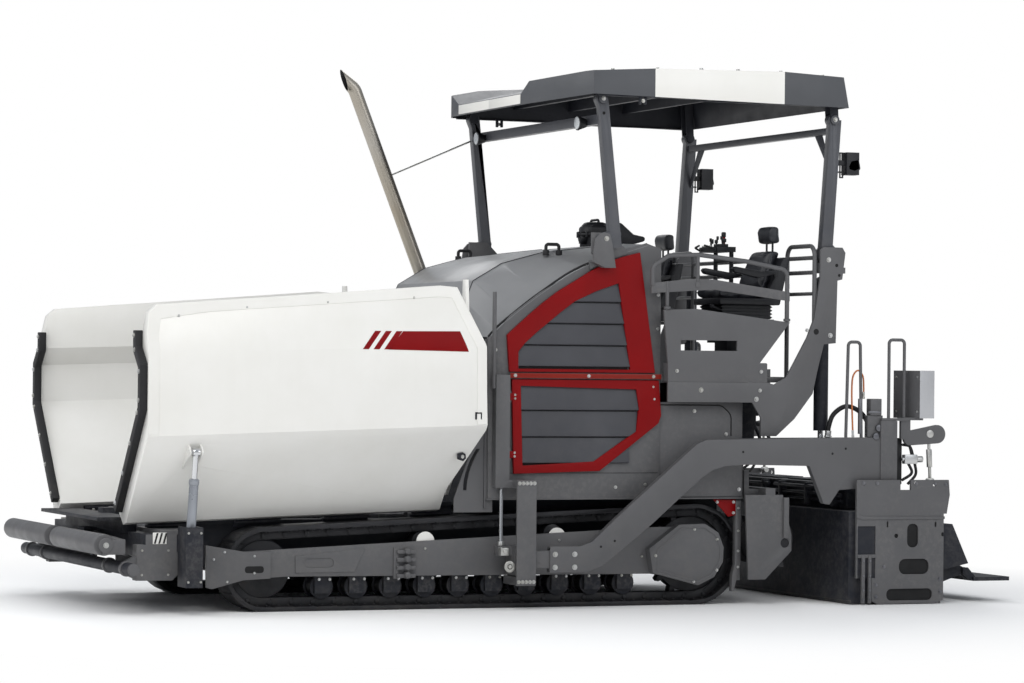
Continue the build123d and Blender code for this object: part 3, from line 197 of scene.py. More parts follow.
def joined(name, pieces):
    bpy.ops.object.select_all(action="DESELECT")
    for piece in pieces:
        piece.select_set(True)
    bpy.context.view_layer.objects.active = pieces[0]
    if len(pieces) > 1:
        bpy.ops.object.join()
    bpy.ops.object.transform_apply(location=True, rotation=True, scale=True)
    return take(name)


def copyAt(piece, place):
    copy = piece.copy()
    copy.data = piece.data.copy()
    copy.matrix_world = place @ piece.matrix_world
    bpy.context.scene.collection.objects.link(copy)
    return copy


def spread(name, model, places):
    # copies of one model at each place, joined; the model itself is removed
    bpy.context.view_layer.update()
    pieces = [copyAt(model, place) for place in places]
    bpy.data.objects.remove(model)
    return joined(name, pieces)


def mirrored(piece, name):
    # the same piece on the other side
    copy = piece.copy()
    copy.data = piece.data.copy()
    bpy.context.scene.collection.objects.link(copy)
    copy.name = name
    copy.parent = None
    copy.matrix_world = Matrix.Diagonal((1, -1, 1, 1)) @ piece.matrix_world
    activate(copy)
    bpy.ops.object.transform_apply(location=True, rotation=True, scale=True)
    editAll(copy, (bpy.ops.mesh.normals_make_consistent, {"inside": False}))
    return copy


def softened(node, width=0.003, name=None, angle=35):
    # a CAD piece with its edges rounded, which stands for the CAD piece
    source = frame["nodes"][node]
    piece = source.copy()
    piece.data = source.data.copy()
    piece.parent = None
    for key in list(piece.keys()):
        del piece[key]
    bpy.context.scene.collection.objects.link(piece)
    piece.name = name or node + "_finished"
    activate(piece)
    bpy.ops.object.mode_set(mode="EDIT")
    bpy.ops.mesh.select_all(action="SELECT")
    bpy.ops.mesh.remove_doubles(threshold=0.00005)
    bpy.ops.mesh.customdata_custom_splitnormals_clear()
    bpy.ops.mesh.dissolve_limited(angle_limit=math.radians(1.5))
    bpy.ops.object.mode_set(mode="OBJECT")
    roundEdges(piece, width, angle=angle)
    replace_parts(piece, node)
    return piece


def paintFaces(piece, paint, chosen):
    # a second material on the faces that the test picks, by the face's centre and normal
    piece.data.materials.append(paint)
    number = len(piece.data.materials) - 1
    for face in piece.data.polygons:
        if chosen(face.center, face.normal):
            face.material_index = number


def cutAcross(piece, point, normal):
    editAll(piece, (bpy.ops.mesh.bisect, {"plane_co": point, "plane_no": normal}))


def boltModel(radius, height, washer):
    bpy.ops.mesh.primitive_cylinder_add(vertices=6, radius=radius, depth=height,
                                        location=(0, 0, washer + height / 2))
    head = roundEdges(take("bolt_head"), radius * 0.12, 1)
    bpy.ops.mesh.primitive_cylinder_add(vertices=14, radius=radius * 1.45, depth=washer,
                                        location=(0, 0, washer / 2))
    ring = take("bolt_washer")
    return joined("bolt", [head, ring])


def addBolts(name, places, normal, radius=0.012, height=0.010, washer=0.003):
    turn = Vector((0, 0, 1)).rotation_difference(Vector(normal)).to_matrix().to_4x4()
    spin = random.Random(name)
    return spread(name, boltModel(radius, height, washer),
                  [Matrix.Translation(place) @ turn @ Matrix.Rotation(spin.uniform(0, 1), 4, "Z")
                   for place in places])


# --- materials

def linear(colour):
    channels = [int(colour[start:start + 2], 16) / 255 for start in (1, 3, 5)]
    return [c / 12.92 if c <= 0.04045 else ((c + 0.055) / 1.055) ** 2.4 for c in channels] + [1]


def addNode(tree, kind, inputs=None, **settings):
    node = tree.nodes.new(kind)
    for key, value in settings.items():
        setattr(node, key, value)
    for key, value in (inputs or {}).items():
        if isinstance(value, bpy.types.NodeSocket):
            tree.links.new(value, node.inputs[key])
        else:
            node.inputs[key].default_value = value
    return node


def rangeOf(tree, value, low, high, toLow=0.0, toHigh=1.0):
    return addNode(tree, "ShaderNodeMapRange", {"Value": value, "From Min": low, "From Max": high,
                                                "To Min": toLow, "To Max": toHigh}).outputs[0]


def times(tree, first, second):
    return addNode(tree, "ShaderNodeMath", {0: first, 1: second}, operation="MULTIPLY").outputs[0]


def mixColour(tree, factor, first, second):
    return addNode(tree, "ShaderNodeMix", {0: factor, 6: first, 7: second}, data_type="RGBA").outputs[2]


def noise(tree, where, scale, detail=3.0, stretch=(1, 1, 1), rough=0.55):
    mapping = addNode(tree, "ShaderNodeMapping", {"Vector": where, "Scale": stretch})
    return addNode(tree, "ShaderNodeTexNoise",
                   {"Vector": mapping.outputs[0], "Scale": scale, "Detail": detail,
                    "Roughness": rough}).outputs[0]


def makeSurface(name, look):
    # one surface from its base colour outwards: mottling, streaks, dust, worn edges, then grain as relief
    material = bpy.data.materials.new(name)
    material.use_nodes = True
    tree = material.node_tree
    shader = tree.nodes["Principled BSDF"]
    where = addNode(tree, "ShaderNodeTexCoord").outputs["Object"]
    shape = addNode(tree, "ShaderNodeNewGeometry")
    cloud = noise(tree, where, look.get("mottleScale", 2.2), 4)
    colour = mixColour(tree, rangeOf(tree, cloud, 0.35, 0.65), linear(look["base"]),
                       linear(look.get("base2", look["base"])))
    rough = rangeOf(tree, noise(tree, where, look.get("glossScale", 7.0), 3), 0.3, 0.7,
                    look["roughness"] - look.get("spread", 0.06),
                    look["roughness"] + look.get("spread", 0.06))
    metal = None
    if look.get("streaks"):
        streak = noise(tree, where, 5.0, 4, look.get("streakStretch", (3.5, 3.5, 0.35)))
        amount = times(tree, rangeOf(tree, streak, 0.48, 0.75), look["streaks"])
        colour = mixColour(tree, amount, colour, linear(look["streakColour"]))
    if look.get("scratches"):
        fine = noise(tree, where, 30.0, 2, look.get("scratchStretch", (1.0, 8.0, 0.12)))
        amount = times(tree, rangeOf(tree, fine, 0.56, 0.66), look["scratches"])
        colour = mixColour(tree, amount, colour, linear(look["scratchColour"]))
    if look.get("dust"):
        height = addNode(tree, "ShaderNodeSeparateXYZ", {0: where}).outputs[2]
        upward = addNode(tree, "ShaderNodeSeparateXYZ", {0: shape.outputs["Normal"]}).outputs[2]
        low = rangeOf(tree, height, look.get("dustTop", 1.3), 0.0)
        level = rangeOf(tree, upward, 0.2, 1.0, 0.0, look.get("dustFlat", 0.5))
        share = addNode(tree, "ShaderNodeMath", {0: low, 1: level}, operation="MAXIMUM").outputs[0]
        patch = rangeOf(tree, noise(tree, where, look.get("dustScale", 9.0), 6, rough=0.65), 0.42, 0.68)
        amount = times(tree, times(tree, share, patch), look["dust"])
        colour = mixColour(tree, amount, colour, linear(look.get("dustColour", "#8a8378")))
        rough = addNode(tree, "ShaderNodeMix", {0: amount, 2: rough, 3: 0.9}).outputs[0]
    if look.get("wear"):
        edge = rangeOf(tree, shape.outputs["Pointiness"], 0.53, 0.6)
        chips = rangeOf(tree, noise(tree, where, 26.0, 5, rough=0.7), 0.46, 0.6)
        amount = times(tree, times(tree, edge, chips), look["wear"])
        colour = mixColour(tree, amount, colour, linear(look.get("wearColour", "#8f8c88")))
        metal = times(tree, amount, 0.8)
    if look.get("rust"):
        spots = rangeOf(tree, noise(tree, where, look.get("rustScale", 12.0), 8, rough=0.7), 0.55, 0.72)
        amount = times(tree, spots, look["rust"])
        colour = mixColour(tree, amount, colour, linear(look.get("rustColour", "#4d3426")))
        rough = addNode(tree, "ShaderNodeMix", {0: amount, 2: rough, 3: 0.85}).outputs[0]
    tree.links.new(colour, shader.inputs["Base Color"])
    tree.links.new(rough, shader.inputs["Roughness"])
    if metal is not None and not look.get("metallic"):
        tree.links.new(metal, shader.inputs["Metallic"])
    else:
        shader.inputs["Metallic"].default_value = look.get("metallic", 0)
    shader.inputs["Coat Weight"].default_value = look.get("coat", 0)
    shader.inputs["Coat Roughness"].default_value = look.get("coatRoughness", 0.2)
    if not look.get("metallic"):
        shader.inputs["IOR"].default_value = look.get("ior", 1.5)
    relief = None
    for scale, depth, stretch in look.get("relief", []):
        grain = noise(tree, where, scale, 4, stretch)
        links = {"Height": grain, "Distance": depth, "Strength": 1.0}
        if relief is not None:
            links["Normal"] = relief
        relief = addNode(tree, "ShaderNodeBump", links).outputs[0]
    if relief is not None:
        tree.links.new(relief, shader.inputs["Normal"])
    return material


# relief lists hold noise scale, depth in metres and stretch; grain under 1 mm is drawn two or three times
# coarser so it shows
even = (1, 1, 1)
surfaces = {
    # powder-coated sheet steel: even mid grey, soft sheen, faint orange peel, dust low down
    "greyPaint": {"base": "#565658", "base2": "#5b5b5d", "roughness": 0.45, "ior": 1.42,
                  "streaks": 0.05, "streakColour": "#6a6865", "dust": 0.10, "dustTop": 1.0, "dustFlat": 0.15,
                  "wear": 0.12, "relief": [(420, 0.0003, even), (1.6, 0.002, even)]},
    # the posts' paint: the same grey as the body, darkened as painted shade under the roof
    "postShadeGrey": {"base": "#3f4147", "base2": "#45474d", "roughness": 0.42, "coat": 0.15, "coatRoughness": 0.3,
                 "dust": 0.15, "dustTop": 4, "dustFlat": 0.2, "wear": 0.25, "relief": [(420, 0.0003, even)]},
    # roof sheet, anthracite with a satin sheen
    "roofGrey": {"base": "#494b4f", "base2": "#4e5054", "roughness": 0.42, "ior": 1.4,
                 "relief": [(380, 0.0002, even), (1.1, 0.003, even)]},
    # cylinder barrels, painted light blue-grey steel
    "cylinderBlue": {"base": "#8e9299", "base2": "#9a9ea5", "metallic": 0.4, "roughness": 0.32,
                     "relief": [(200, 0.0002, (3, 3, 0.5))]},
    # the same paint in the machine's shaded inner parts, near black with a blue cast
    "shadePaint": {"base": "#202229", "base2": "#26282f", "roughness": 0.5, "ior": 1.32, "dust": 0.1,
                   "dustTop": 0.9,
                   "dustFlat": 0.15, "wear": 0.12, "relief": [(380, 0.0003, even), (2.0, 0.002, even)]},
    # moulded hood skin, satin grey painted lighter than the body grey as painted light on its upward-facing
    # top, with a fine leather grain
    "hoodLitGrey": {"base": "#7d7e80", "base2": "#848587", "roughness": 0.38, "spread": 0.05, "coat": 0.15,
                 "coatRoughness": 0.25, "dust": 0.12, "dustFlat": 0.2, "dustColour": "#a09a90",
                 "relief": [(300, 0.0002, even), (0.9, 0.003, even)]},
    # two-layer gloss red on the grille frames
    "redPaint": {"base": "#780307", "base2": "#800408", "roughness": 0.34, "spread": 0.04, "ior": 1.25,
                 "streaks": 0.10, "streakColour": "#6e0306",
                 "relief": [(400, 0.0002, even)]},
    # gloss white coil-coated sheet
    "whitePaint": {"base": "#e9e8e4", "base2": "#e5e4df", "roughness": 0.35, "coat": 0.2, "streaks": 0.04,
                   "streakColour": "#c9c6be", "relief": [(350, 0.0002, even)]},
    # rolled steel of the hopper's floor and walls, polished grey by sliding stone, tar left in the corners
    "wornSteel": {"base": "#55565a", "base2": "#6d6d6e", "metallic": 0.75, "roughness": 0.46, "spread": 0.12,
                  "scratches": 0.5, "scratchColour": "#8d8c8a", "rust": 0.35, "rustColour": "#2a2522",
                  "relief": [(40, 0.0006, (1, 6, 0.3)), (6, 0.002, even)]},
    # cast and forged track parts, oily black with bright rubbed places
    "trackSteel": {"base": "#1b1c20", "base2": "#29292c", "metallic": 0.35, "roughness": 0.5, "spread": 0.12,
                   "dust": 0.25, "dustTop": 0.5, "dustFlat": 0.3, "dustColour": "#4a4640", "rust": 0.12,
                   "relief": [(90, 0.0008, even), (14, 0.0015, even)]},
    # turned and ground steel on rollers and pins
    "rollerSteel": {"base": "#6a6b70", "base2": "#808084", "metallic": 0.9, "roughness": 0.34, "spread": 0.1,
                    "rust": 0.18, "relief": [(60, 0.0003, (0.2, 6, 0.2))]},
    # hard chrome on piston rods
    "chrome": {"base": "#d5d6d8", "metallic": 1.0, "roughness": 0.12, "spread": 0.03},
    # brushed stainless tube with straw and brown heat colours
    "stainless": {"base": "#b7b4ae", "base2": "#a59d8f", "mottleScale": 1.1, "metallic": 1.0,
                  "roughness": 0.34,
                  "spread": 0.02, "glossScale": 1.5, "streaks": 0.25, "streakColour": "#7d6243",
                  "streakStretch": (0.3, 0.3, 0.1)},
    # zinc-plated bolts and fittings, pale and slightly patchy
    "zinc": {"base": "#c9cacb", "base2": "#b4b3ad", "metallic": 0.85, "roughness": 0.35, "glossScale": 40,
             "relief": [(200, 0.0002, even)]},
    # black synthetic rubber of hoses and seals, dull with a grey bloom
    "rubber": {"base": "#131316", "base2": "#1c1c1f", "roughness": 0.62, "ior": 1.45, "dust": 0.15,
               "dustFlat": 0.2, "relief": [(260, 0.0004, even)]},
    # injection-moulded black plastic with a spark-eroded grain
    "blackPlastic": {"base": "#191a1e", "base2": "#1f2024", "roughness": 0.48, "ior": 1.42, "dust": 0.1,
                     "dustFlat": 0.2, "relief": [(330, 0.0004, even)]},
    # seat vinyl, soft sheen and a leather grain
    "seatVinyl": {"base": "#1c1e24", "base2": "#23252b", "roughness": 0.45, "mottleScale": 5,
                  "relief": [(180, 0.0007, even), (22, 0.0012, even)]},
    # grey iron casting of the engine under oil film
    "castIron": {"base": "#2e2f31", "base2": "#3a3936", "metallic": 0.3, "roughness": 0.6, "rust": 0.3,
                 "relief": [(120, 0.0008, even)]},
    # pressed grey louvre panel behind the red frames
    "louvreGrey": {"base": "#3d3e43", "base2": "#44454a", "roughness": 0.48, "ior": 1.42, "dust": 0.12,
                   "dustTop": 1.8, "relief": [(380, 0.0003, even), (3, 0.0015, even)]},
    # light grey on the cable cabinet's side, painted light for the light falling on that side, drawn with
    # fine upright ribs
    "cabinetLitSide": {"base": "#b4b5b8", "base2": "#bcbdc0", "metallic": 0.15, "roughness": 0.4,
                    "relief": [(26, 0.002, (4, 4, 0.02))]},
    # near black: painted shade in gaps, slots and bores and as dark sheets behind openings, also the small
    # black plugs
    "deepBlack": {"base": "#08080a", "base2": "#0c0c0e", "roughness": 0.8, "relief": [(240, 0.0004, even)]},
    # screed plates: steel blued by heat, rubbed along the paving direction
    "screedSteel": {"base": "#3b3c40", "base2": "#4a4a4c", "metallic": 0.5, "roughness": 0.5, "spread": 0.1,
                    "scratches": 0.3, "scratchColour": "#6f6e6c", "scratchStretch": (0.15, 8, 1), "dust": 0.2,
                    "dustTop": 0.5, "relief": [(90, 0.0005, (0.3, 5, 1))]},
    # orange hose
    "orangeRubber": {"base": "#bf6f38", "base2": "#b0622e", "roughness": 0.5,
                     "relief": [(260, 0.0003, even)]},
    # lamp glass seen as a pale ribbed lens
    "lampLens": {"base": "#cfd3d6", "base2": "#b9bec2", "roughness": 0.12, "coat": 0.6, "coatRoughness": 0.05,
                 "relief": [(70, 0.002, (0.2, 4, 0.2))]},
}
paints = {name: makeSurface(name, look) for name, look in surfaces.items()}
print("materials")

# --- CAD pieces: edges rounded and painted. Each entry: body, paint, edge width in metres

cadPieces = {
    "main_frame": ("chassis", "shadePaint", 0.003), "hopper_base": ("chassis", "greyPaint", 0.003),
    "slat_conveyors": ("chassis", "wornSteel", 0.004), "engine": ("chassis", "castIron", 0.02),
    # the hood skin's lighter grey is painted light on its top
    "engine_cowling": ("chassis", "greyPaint", 0.004), "engine_hood": ("engine_hood", "hoodLitGrey", 0.004),
    "air_intake": ("chassis", "blackPlastic", 0.012),
    "dash_cover": ("chassis", "blackPlastic", 0.015), "operator_platform": ("chassis", "greyPaint", 0.005),
    "platform_rails": ("chassis", "greyPaint", 0.002), "side_frames": ("chassis", "greyPaint", 0.005),
    "tow_guides": ("chassis", "greyPaint", 0.005), "tow_carriages": ("tow_carriages", "greyPaint", 0.006),
    "platform_side_panels": ("chassis", "greyPaint", 0.005),
    "tow_arms": ("screed", "greyPaint", 0.010), "screed_frame": ("screed", "shadePaint", 0.006),
    "screed_controls": ("screed", "greyPaint", 0.004),
    "lift_cylinder_barrels": ("lift_cylinder_barrels", "shadePaint", 0.004),
    "lift_cylinder_rods": ("lift_cylinder_rods", "shadePaint", 0.003),
    "auger_frame": ("auger_frame", "greyPaint", 0.004),
    "push_roller_beam": ("push_roller_beam", "greyPaint", 0.006),
    "control_console": ("control_console", "blackPlastic", 0.008),
    # the posts take the darkened post grey, painted shade under the roof
    "front_posts": ("front_posts", "postShadeGrey", 0.010), "rear_posts": ("rear_posts", "postShadeGrey", 0.010),
    "canopy_roof": ("canopy_roof", "roofGrey", 0.012),
}
sidedPieces = {
    "track_wheels": ("chassis", "trackSteel", 0.006), "track_frame": ("chassis", "greyPaint", 0.008),
    "wing_cylinder_barrel": ("wing_barrel", "cylinderBlue", 0.003),
    "wing_cylinder_rod": ("wing_rod", "chrome", 0.002), "push_roller": ("push_roller", "greyPaint", 0.008),
    "screed_extension": ("extension", "shadePaint", 0.006),
    "end_gate": ("extension", "greyPaint", 0.004), "walkway": ("walkway", "shadePaint", 0.004),
    "auger": ("auger", "trackSteel", 0.003), "seat": ("seat", "blackPlastic", 0.012),
    "track": ("chassis", "trackSteel", 0.003),
}
for side in sides:
    for name, (body, paint, width) in sidedPieces.items():
        ownBody = body if body == "chassis" else f"{body}_{side}"
        cadPieces[f"{name}_{side}"] = (ownBody, paint, width)
finished = {}
for node, (body, paint, width) in cadPieces.items():
    finished[node] = settle(softened(node, width), body, paints[paint])
print("CAD pieces")

# --- more tools for shaping

def cutOut(piece, cutter):
    applyModifier(piece, "BOOLEAN", operation="DIFFERENCE", object=cutter, solver="EXACT")
    bpy.data.objects.remove(cutter)


def addFrame(name, outer, inner, span, width):
    frameful = addPlate(name, outer, span, width=0)
    cutOut(frameful, addPlate("opening", inner, (span[0] - 0.02, span[1] + 0.02), width=0))
    return roundEdges(frameful, width)


def bySide(name, build, body, paint):
    # a piece modelled on the left and mirrored to the right; a body name ends in the side where it has one
    piece = build(name + "_left")
    other = mirrored(piece, name + "_right")
    for side, made in (("left", piece), ("right", other)):
        settle(made, body if body in frame["bodies"] else f"{body}_{side}", paint)
    return piece, other


def along(first, last, count):
    return [Vector(first).lerp(Vector(last), number / (count - 1)) for number in range(count)]


def boltsOn(name, body, places, normal, paint="zinc", **size):
    # a group of bolts on the left and the same on the right
    bySide(name, lambda made: addBolts(made, [Vector(place) for place in places], normal, **size), body,
           paints[paint])


# --- crawler tracks: shoes, links and pins copied round the loop, and the toothed wheels

track = {"count": 52, "inset": 0.060, "innerY": 0.842, "outerY": 1.143, "shoeLength": 0.150,
         "sprocketX": -1.05, "sprocketRadius": 0.375, "idlerX": 2.30, "idlerRadius": 0.300}
trackMiddleY = (track["innerY"] + track["outerY"]) / 2


def loopPoints(inset, steps=40):
    rear, front = track["sprocketRadius"] - inset, track["idlerRadius"] - inset
    tilt = 2 * math.atan((track["sprocketRadius"] - track["idlerRadius"])
                         / (track["idlerX"] - track["sprocketX"]))
    points = []
    for number in range(steps + 1):
        turn = math.radians(90) - tilt - (math.radians(180) - tilt) * number / steps
        points.append((track["idlerX"] + front * math.cos(turn),
                       track["idlerRadius"] + front * math.sin(turn)))
    for number in range(steps + 1):
        turn = math.radians(-90) - (math.radians(180) + tilt) * number / steps
        points.append((track["sprocketX"] + rear * math.cos(turn),
                       track["sprocketRadius"] + rear * math.sin(turn)))
    return [Vector(point) for point in points]


def loopPlaces(count, inset):
    points = loopPoints(inset)
    points.append(points[0])
    total = pathLength(points)
    places, walked, wanted = [], 0, total / count / 2
    for start, end in zip(points, points[1:]):
        length = (end - start).length
        while walked + length > wanted and len(places) < count:
            here = start.lerp(end, (wanted - walked) / length)
            direction = (end - start).normalized()
            frameHere = Matrix(((direction.x, 0, -direction.y, here.x), (0, 1, 0, 0),
                                (direction.y, 0, direction.x, here.y), (0, 0, 0, 1)))
            places.append(frameHere)
            wanted += total / count
        walked += length
    return places


shoePlaces = loopPlaces(track["count"], track["inset"])
half = track["shoeLength"] / 2
shoe = [addPlate("shoe_plate",
                 [(-half, 0.026), (half, 0.026), (half, 0.038), (half - 0.018, 0.044), (0.02, 0.044),
                  (-0.02, 0.044), (-half + 0.01, 0.058), (-half, 0.058)],
                 (track["innerY"], track["outerY"]), "y", 0.0015)]
for y in (trackMiddleY - 0.068, trackMiddleY + 0.042):
    shoe.append(addPlate("link_plate",
                         [(-half - 0.008, -0.030), (half - 0.02, -0.034), (half + 0.012, -0.014),
                          (half + 0.012, 0.014), (half - 0.02, 0.028), (-half, 0.028)],
                         (y, y + 0.026), "y", 0.002))
    shoe.append(addRod("pin_end", (half - 0.008, y - 0.008, 0), (half - 0.008, y + 0.034, 0), 0.016, 10,
                       0.002))
shoe.append(addRod("link_pin", (half - 0.008, trackMiddleY - 0.06, 0), (half - 0.008, trackMiddleY + 0.06, 0),
                   0.013, 10, 0))
shoeModel = joined("shoe", shoe)
bolts = [addBolts("shoe_bolts", [Vector((x, y, 0.0258)) for x in (-0.035, 0.035)
                                 for y in (trackMiddleY - 0.105, trackMiddleY + 0.105)], (0, 0, -1), 0.010,
                  0.010, 0.002)]
shoeModel = joined("shoe", [shoeModel] + bolts)
trackLeft = spread("track_left_shoes", shoeModel, shoePlaces)
padModel = addBox("pad", (-0.046, 0.062), (track["innerY"] + 0.008, track["outerY"] - 0.008), (0.042, 0.0565),
                  0.004)
padsLeft = spread("track_left_pads", padModel, shoePlaces)
for piece, paint in ((trackLeft, "trackSteel"), (padsLeft, "rubber")):
    other = mirrored(piece, piece.name.replace("left", "right"))
    settle(piece, "chassis", paints[paint])
    settle(other, "chassis", paints[paint])
    if paint == "trackSteel":
        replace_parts(piece, "track_left")
        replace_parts(other, "track_right")
print("tracks")


def gearOutline(x, z, tip, root, count):
    outline = []
    for number in range(count):
        for share, radius in ((0, root), (0.3, root), (0.42, tip), (0.62, tip), (0.74, root)):
            turn = 2 * math.pi * (number + share) / count
            outline.append((x + radius * math.cos(turn), z + radius * math.sin(turn)))
    return outline


def buildSprocket(name):
    return addPlate(name, gearOutline(track["sprocketX"], track["sprocketRadius"], 0.318, 0.276, 14),
                    (trackMiddleY - 0.038, trackMiddleY + 0.038), "y", 0.003)


def buildWheelRims(name):
    # flanges of the idler and of every lower and carrier roller
    parts = []
    for y in (trackMiddleY - 0.036, trackMiddleY + 0.036):
        parts.append(addRod("rim", (2.30, y - 0.006, 0.30), (2.30, y + 0.006, 0.30), 0.214, 40, 0.003))
    for y in (trackMiddleY - 0.075, trackMiddleY + 0.075):
        for number in range(10):
            x = -0.5 + 0.262 * number
            parts.append(addRod("rim", (x, y - 0.008, 0.168), (x, y + 0.008, 0.168), 0.088, 20, 0.003))
    return joined(name, parts)


bySide("sprocket_teeth", buildSprocket, "chassis", paints["trackSteel"])
bySide("wheel_rims", buildWheelRims, "chassis", paints["shadePaint"])


# --- conveyor slats between the hopper's walls

def buildSlats(name):
    slat = addPlate("slat", [(-0.022, 0), (-0.014, 0.012), (0.014, 0.012), (0.022, 0)], (0.075, 0.635), "y",
                    0.002)
    # the shape lies in X and Z and is copied along the belt's upper run
    places = [Matrix.Translation((x, 0, 0.668)) for x in [-1.1 + 0.27 * number for number in range(16)]]
    return spread(name, slat, places)


bySide("conveyor_slats", buildSlats, "chassis", paints["wornSteel"])

# --- hopper: wings with stepped panels, front strips, stripes, latches and hinge bolts

wing = {"faceY": 1.5155, "lowerFold": 0.593, "upperFold": 1.163, "stripReach": (3.283, 3.338),
        "stripes": [1.72, 1.64, 1.56], "stripeWidth": 0.045, "stripeLean": 0.105}


def hingeZ(x):
    return 0.657 - 0.03506 * (x - 3.28)


def wingFaceY(x, z):
    height = z - hingeZ(x)
    if height > wing["upperFold"]:
        return wing["faceY"] - (height - wing["upperFold"]) * 0.302
    return wing["faceY"] - max(0, wing["lowerFold"] - height) * 0.8414


def layOnWing(piece, lift):
    # moves a flat decal, drawn at y = 0, onto the wing's outer face
    for vertex in piece.data.vertices:
        vertex.co.y += wingFaceY(vertex.co.x, vertex.co.z) + lift
    return piece


def buildStripes(name):
    lean, wide = wing["stripeLean"], wing["stripeWidth"]
    shapes = [[(x, 1.872), (x - wide, 1.872), (x - wide - lean, 2.003), (x - lean, 2.003)]
              for x in wing["stripes"]]
    shapes.append([(1.525, 1.871), (0.916, 1.862), (0.972, 2.008), (1.405, 2.003)])
    decals = joined(name, [addPlate("stripe", shape, (0.0005, 0.0017), width=0) for shape in shapes])
    cutAcross(decals, (0, 0, hingeZ(0) + wing["upperFold"]), (0.03506, 0, 1))
    return layOnWing(decals, 0)


def buildStrip(name):
    outer = [(0.895, 0.700), (1.497, 1.430), (1.497, 1.752), (1.362, 1.872), (1.362, 1.985)]
    inner = [(1.300, 1.985), (1.300, 1.842), (1.430, 1.722), (1.430, 1.455), (0.835, 0.735)]
    return addPlate(name, outer + inner, wing["stripReach"], "x", 0.006)


def buildStripBolts(name):
    line = (along((0.90, 0.77), (1.43, 1.415), 4) + along((1.464, 1.50), (1.464, 1.70), 2)
            + [Vector((1.345, 1.85)), Vector((1.331, 1.95))])
    return addBolts(name, [Vector((wing["stripReach"][1], y, z)) for y, z in line], (1, 0, 0), 0.012, 0.008)


def buildWingFittings(name):
    y = wingFaceY(0.84, 1.40)
    parts = [addFrame("latch", [(0.81, 1.378), (0.862, 1.378), (0.862, 1.43), (0.81, 1.43)],
                      [(0.822, 1.36), (0.85, 1.36), (0.85, 1.418), (0.822, 1.418)], (y - 0.003, y + 0.0045),
                      0.001)]
    ring = addPlate("lug",
                    [(0.935, 1.09), (0.89, 1.075), (0.868, 1.095), (0.872, 1.125), (0.895, 1.14),
                     (0.935, 1.13)],
                    (1.350, 1.362), width=0)
    cutOut(ring, addRod("hole", (0.893, 1.34, 1.108), (0.893, 1.37, 1.108), 0.014, 16, 0))
    parts.append(roundEdges(ring, 0.002))
    parts.append(addPlate("front_latch", [(3.232, 1.285), (3.262, 1.28), (3.268, 1.345), (3.24, 1.36)],
                          (1.515, 1.519), width=0.001))
    return joined(name, parts)


for side, sign in sides.items():
    # set in by the height of the rim that is laid on it
    sheet = softened(f"hopper_wing_{side}", 0.006, angle=25)
    sheet.data.transform(Matrix.Translation((0, sign * (wing["faceY"] - 1.52), 0)))
    finished[f"hopper_wing_{side}"] = settle(sheet, f"wing_{side}", paints["whitePaint"])


def buildWingBorder(name):
    # the raised rim round the upper panel, bent over the fold
    outer = [(3.281, 1.262), (3.281, 1.960), (3.258, 2.108), (3.196, 2.160), (2.838, 2.196), (1.092, 2.330),
             (0.966, 2.320), (0.778, 1.900), (0.770, 1.345), (2.0, 1.303)]
    inner = [(3.206, 1.200), (3.206, 1.950), (3.180, 2.066), (2.830, 2.120), (1.100, 2.254), (1.010, 2.248),
             (0.852, 1.885), (0.846, 1.200)]
    rim = addFrame(name, outer, inner, (0.0, 0.0045), 0)
    cutAcross(rim, (0, 0, hingeZ(0) + wing["upperFold"]), (0.03506, 0, 1))
    layOnWing(rim, 0)
    return roundEdges(rim, 0.0015)


bySide("wing_border", buildWingBorder, "wing", paints["whitePaint"])
bySide("wing_stripes", buildStripes, "wing", paints["redPaint"])
bySide("wing_front_strip", buildStrip, "wing", paints["rubber"])
bySide("wing_strip_bolts", buildStripBolts, "wing", paints["zinc"])
bySide("wing_fittings", buildWingFittings, "wing", paints["shadePaint"])
boltsOn("wing_top_bolts", "wing", [(x, wingFaceY(x, z), z) for x, z in
                                   ((3.05, 2.09), (2.55, 2.155), (1.95, 2.20), (1.30, 2.245))], (0, 1, 0.3),
        radius=0.008, height=0.006)
boltsOn("hinge_bolts", "chassis", [(x, 0.812, hingeZ(x) - 0.02) for low in (2.75, 2.10, 1.43, 0.79)
                                   for x in (low + 0.06, low + 0.17, low + 0.28)], (0, 0, 1), radius=0.011)
print("wings")

# --- cowling: red frames, pressed louvres, seal, hinges and bolts

upperOuter = [(0.500, 1.722), (0.520, 1.990), (0.440, 2.060), (0.345, 2.142), (0.250, 2.220), (0.125, 2.311),
              (-0.010, 2.390),
              (-0.140, 2.468), (-0.280, 2.540), (-0.400, 2.578), (-0.530, 2.610), (-0.660, 1.722)]
upperInner = [(0.430, 1.745), (0.430, 1.870), (0.380, 1.930), (0.292, 2.008), (0.200, 2.080), (0.095, 2.164),
              (-0.010, 2.240), (-0.180, 2.318), (-0.360, 2.380), (-0.460, 1.745)]
lowerOuter = [(0.480, 1.668), (-0.690, 1.668), (-0.712, 1.410), (-0.690, 1.350), (-0.220, 1.000),
              (0.460, 0.980)]
lowerInner = [(0.410, 1.620), (-0.510, 1.600), (-0.530, 1.460), (-0.510, 1.290), (-0.170, 1.070),
              (0.390, 1.040)]
louvre = {"upperRows": 4, "lowerRows": 3, "lean": 0.014, "gap": 0.022}


def rangeAt(outline, height):
    # the outline's two X values at one height
    found = []
    for (x1, z1), (x2, z2) in zip(outline, outline[1:] + outline[:1]):
        if min(z1, z2) <= height < max(z1, z2):
            found.append(x1 + (x2 - x1) * (height - z1) / (z2 - z1))
    return min(found), max(found)


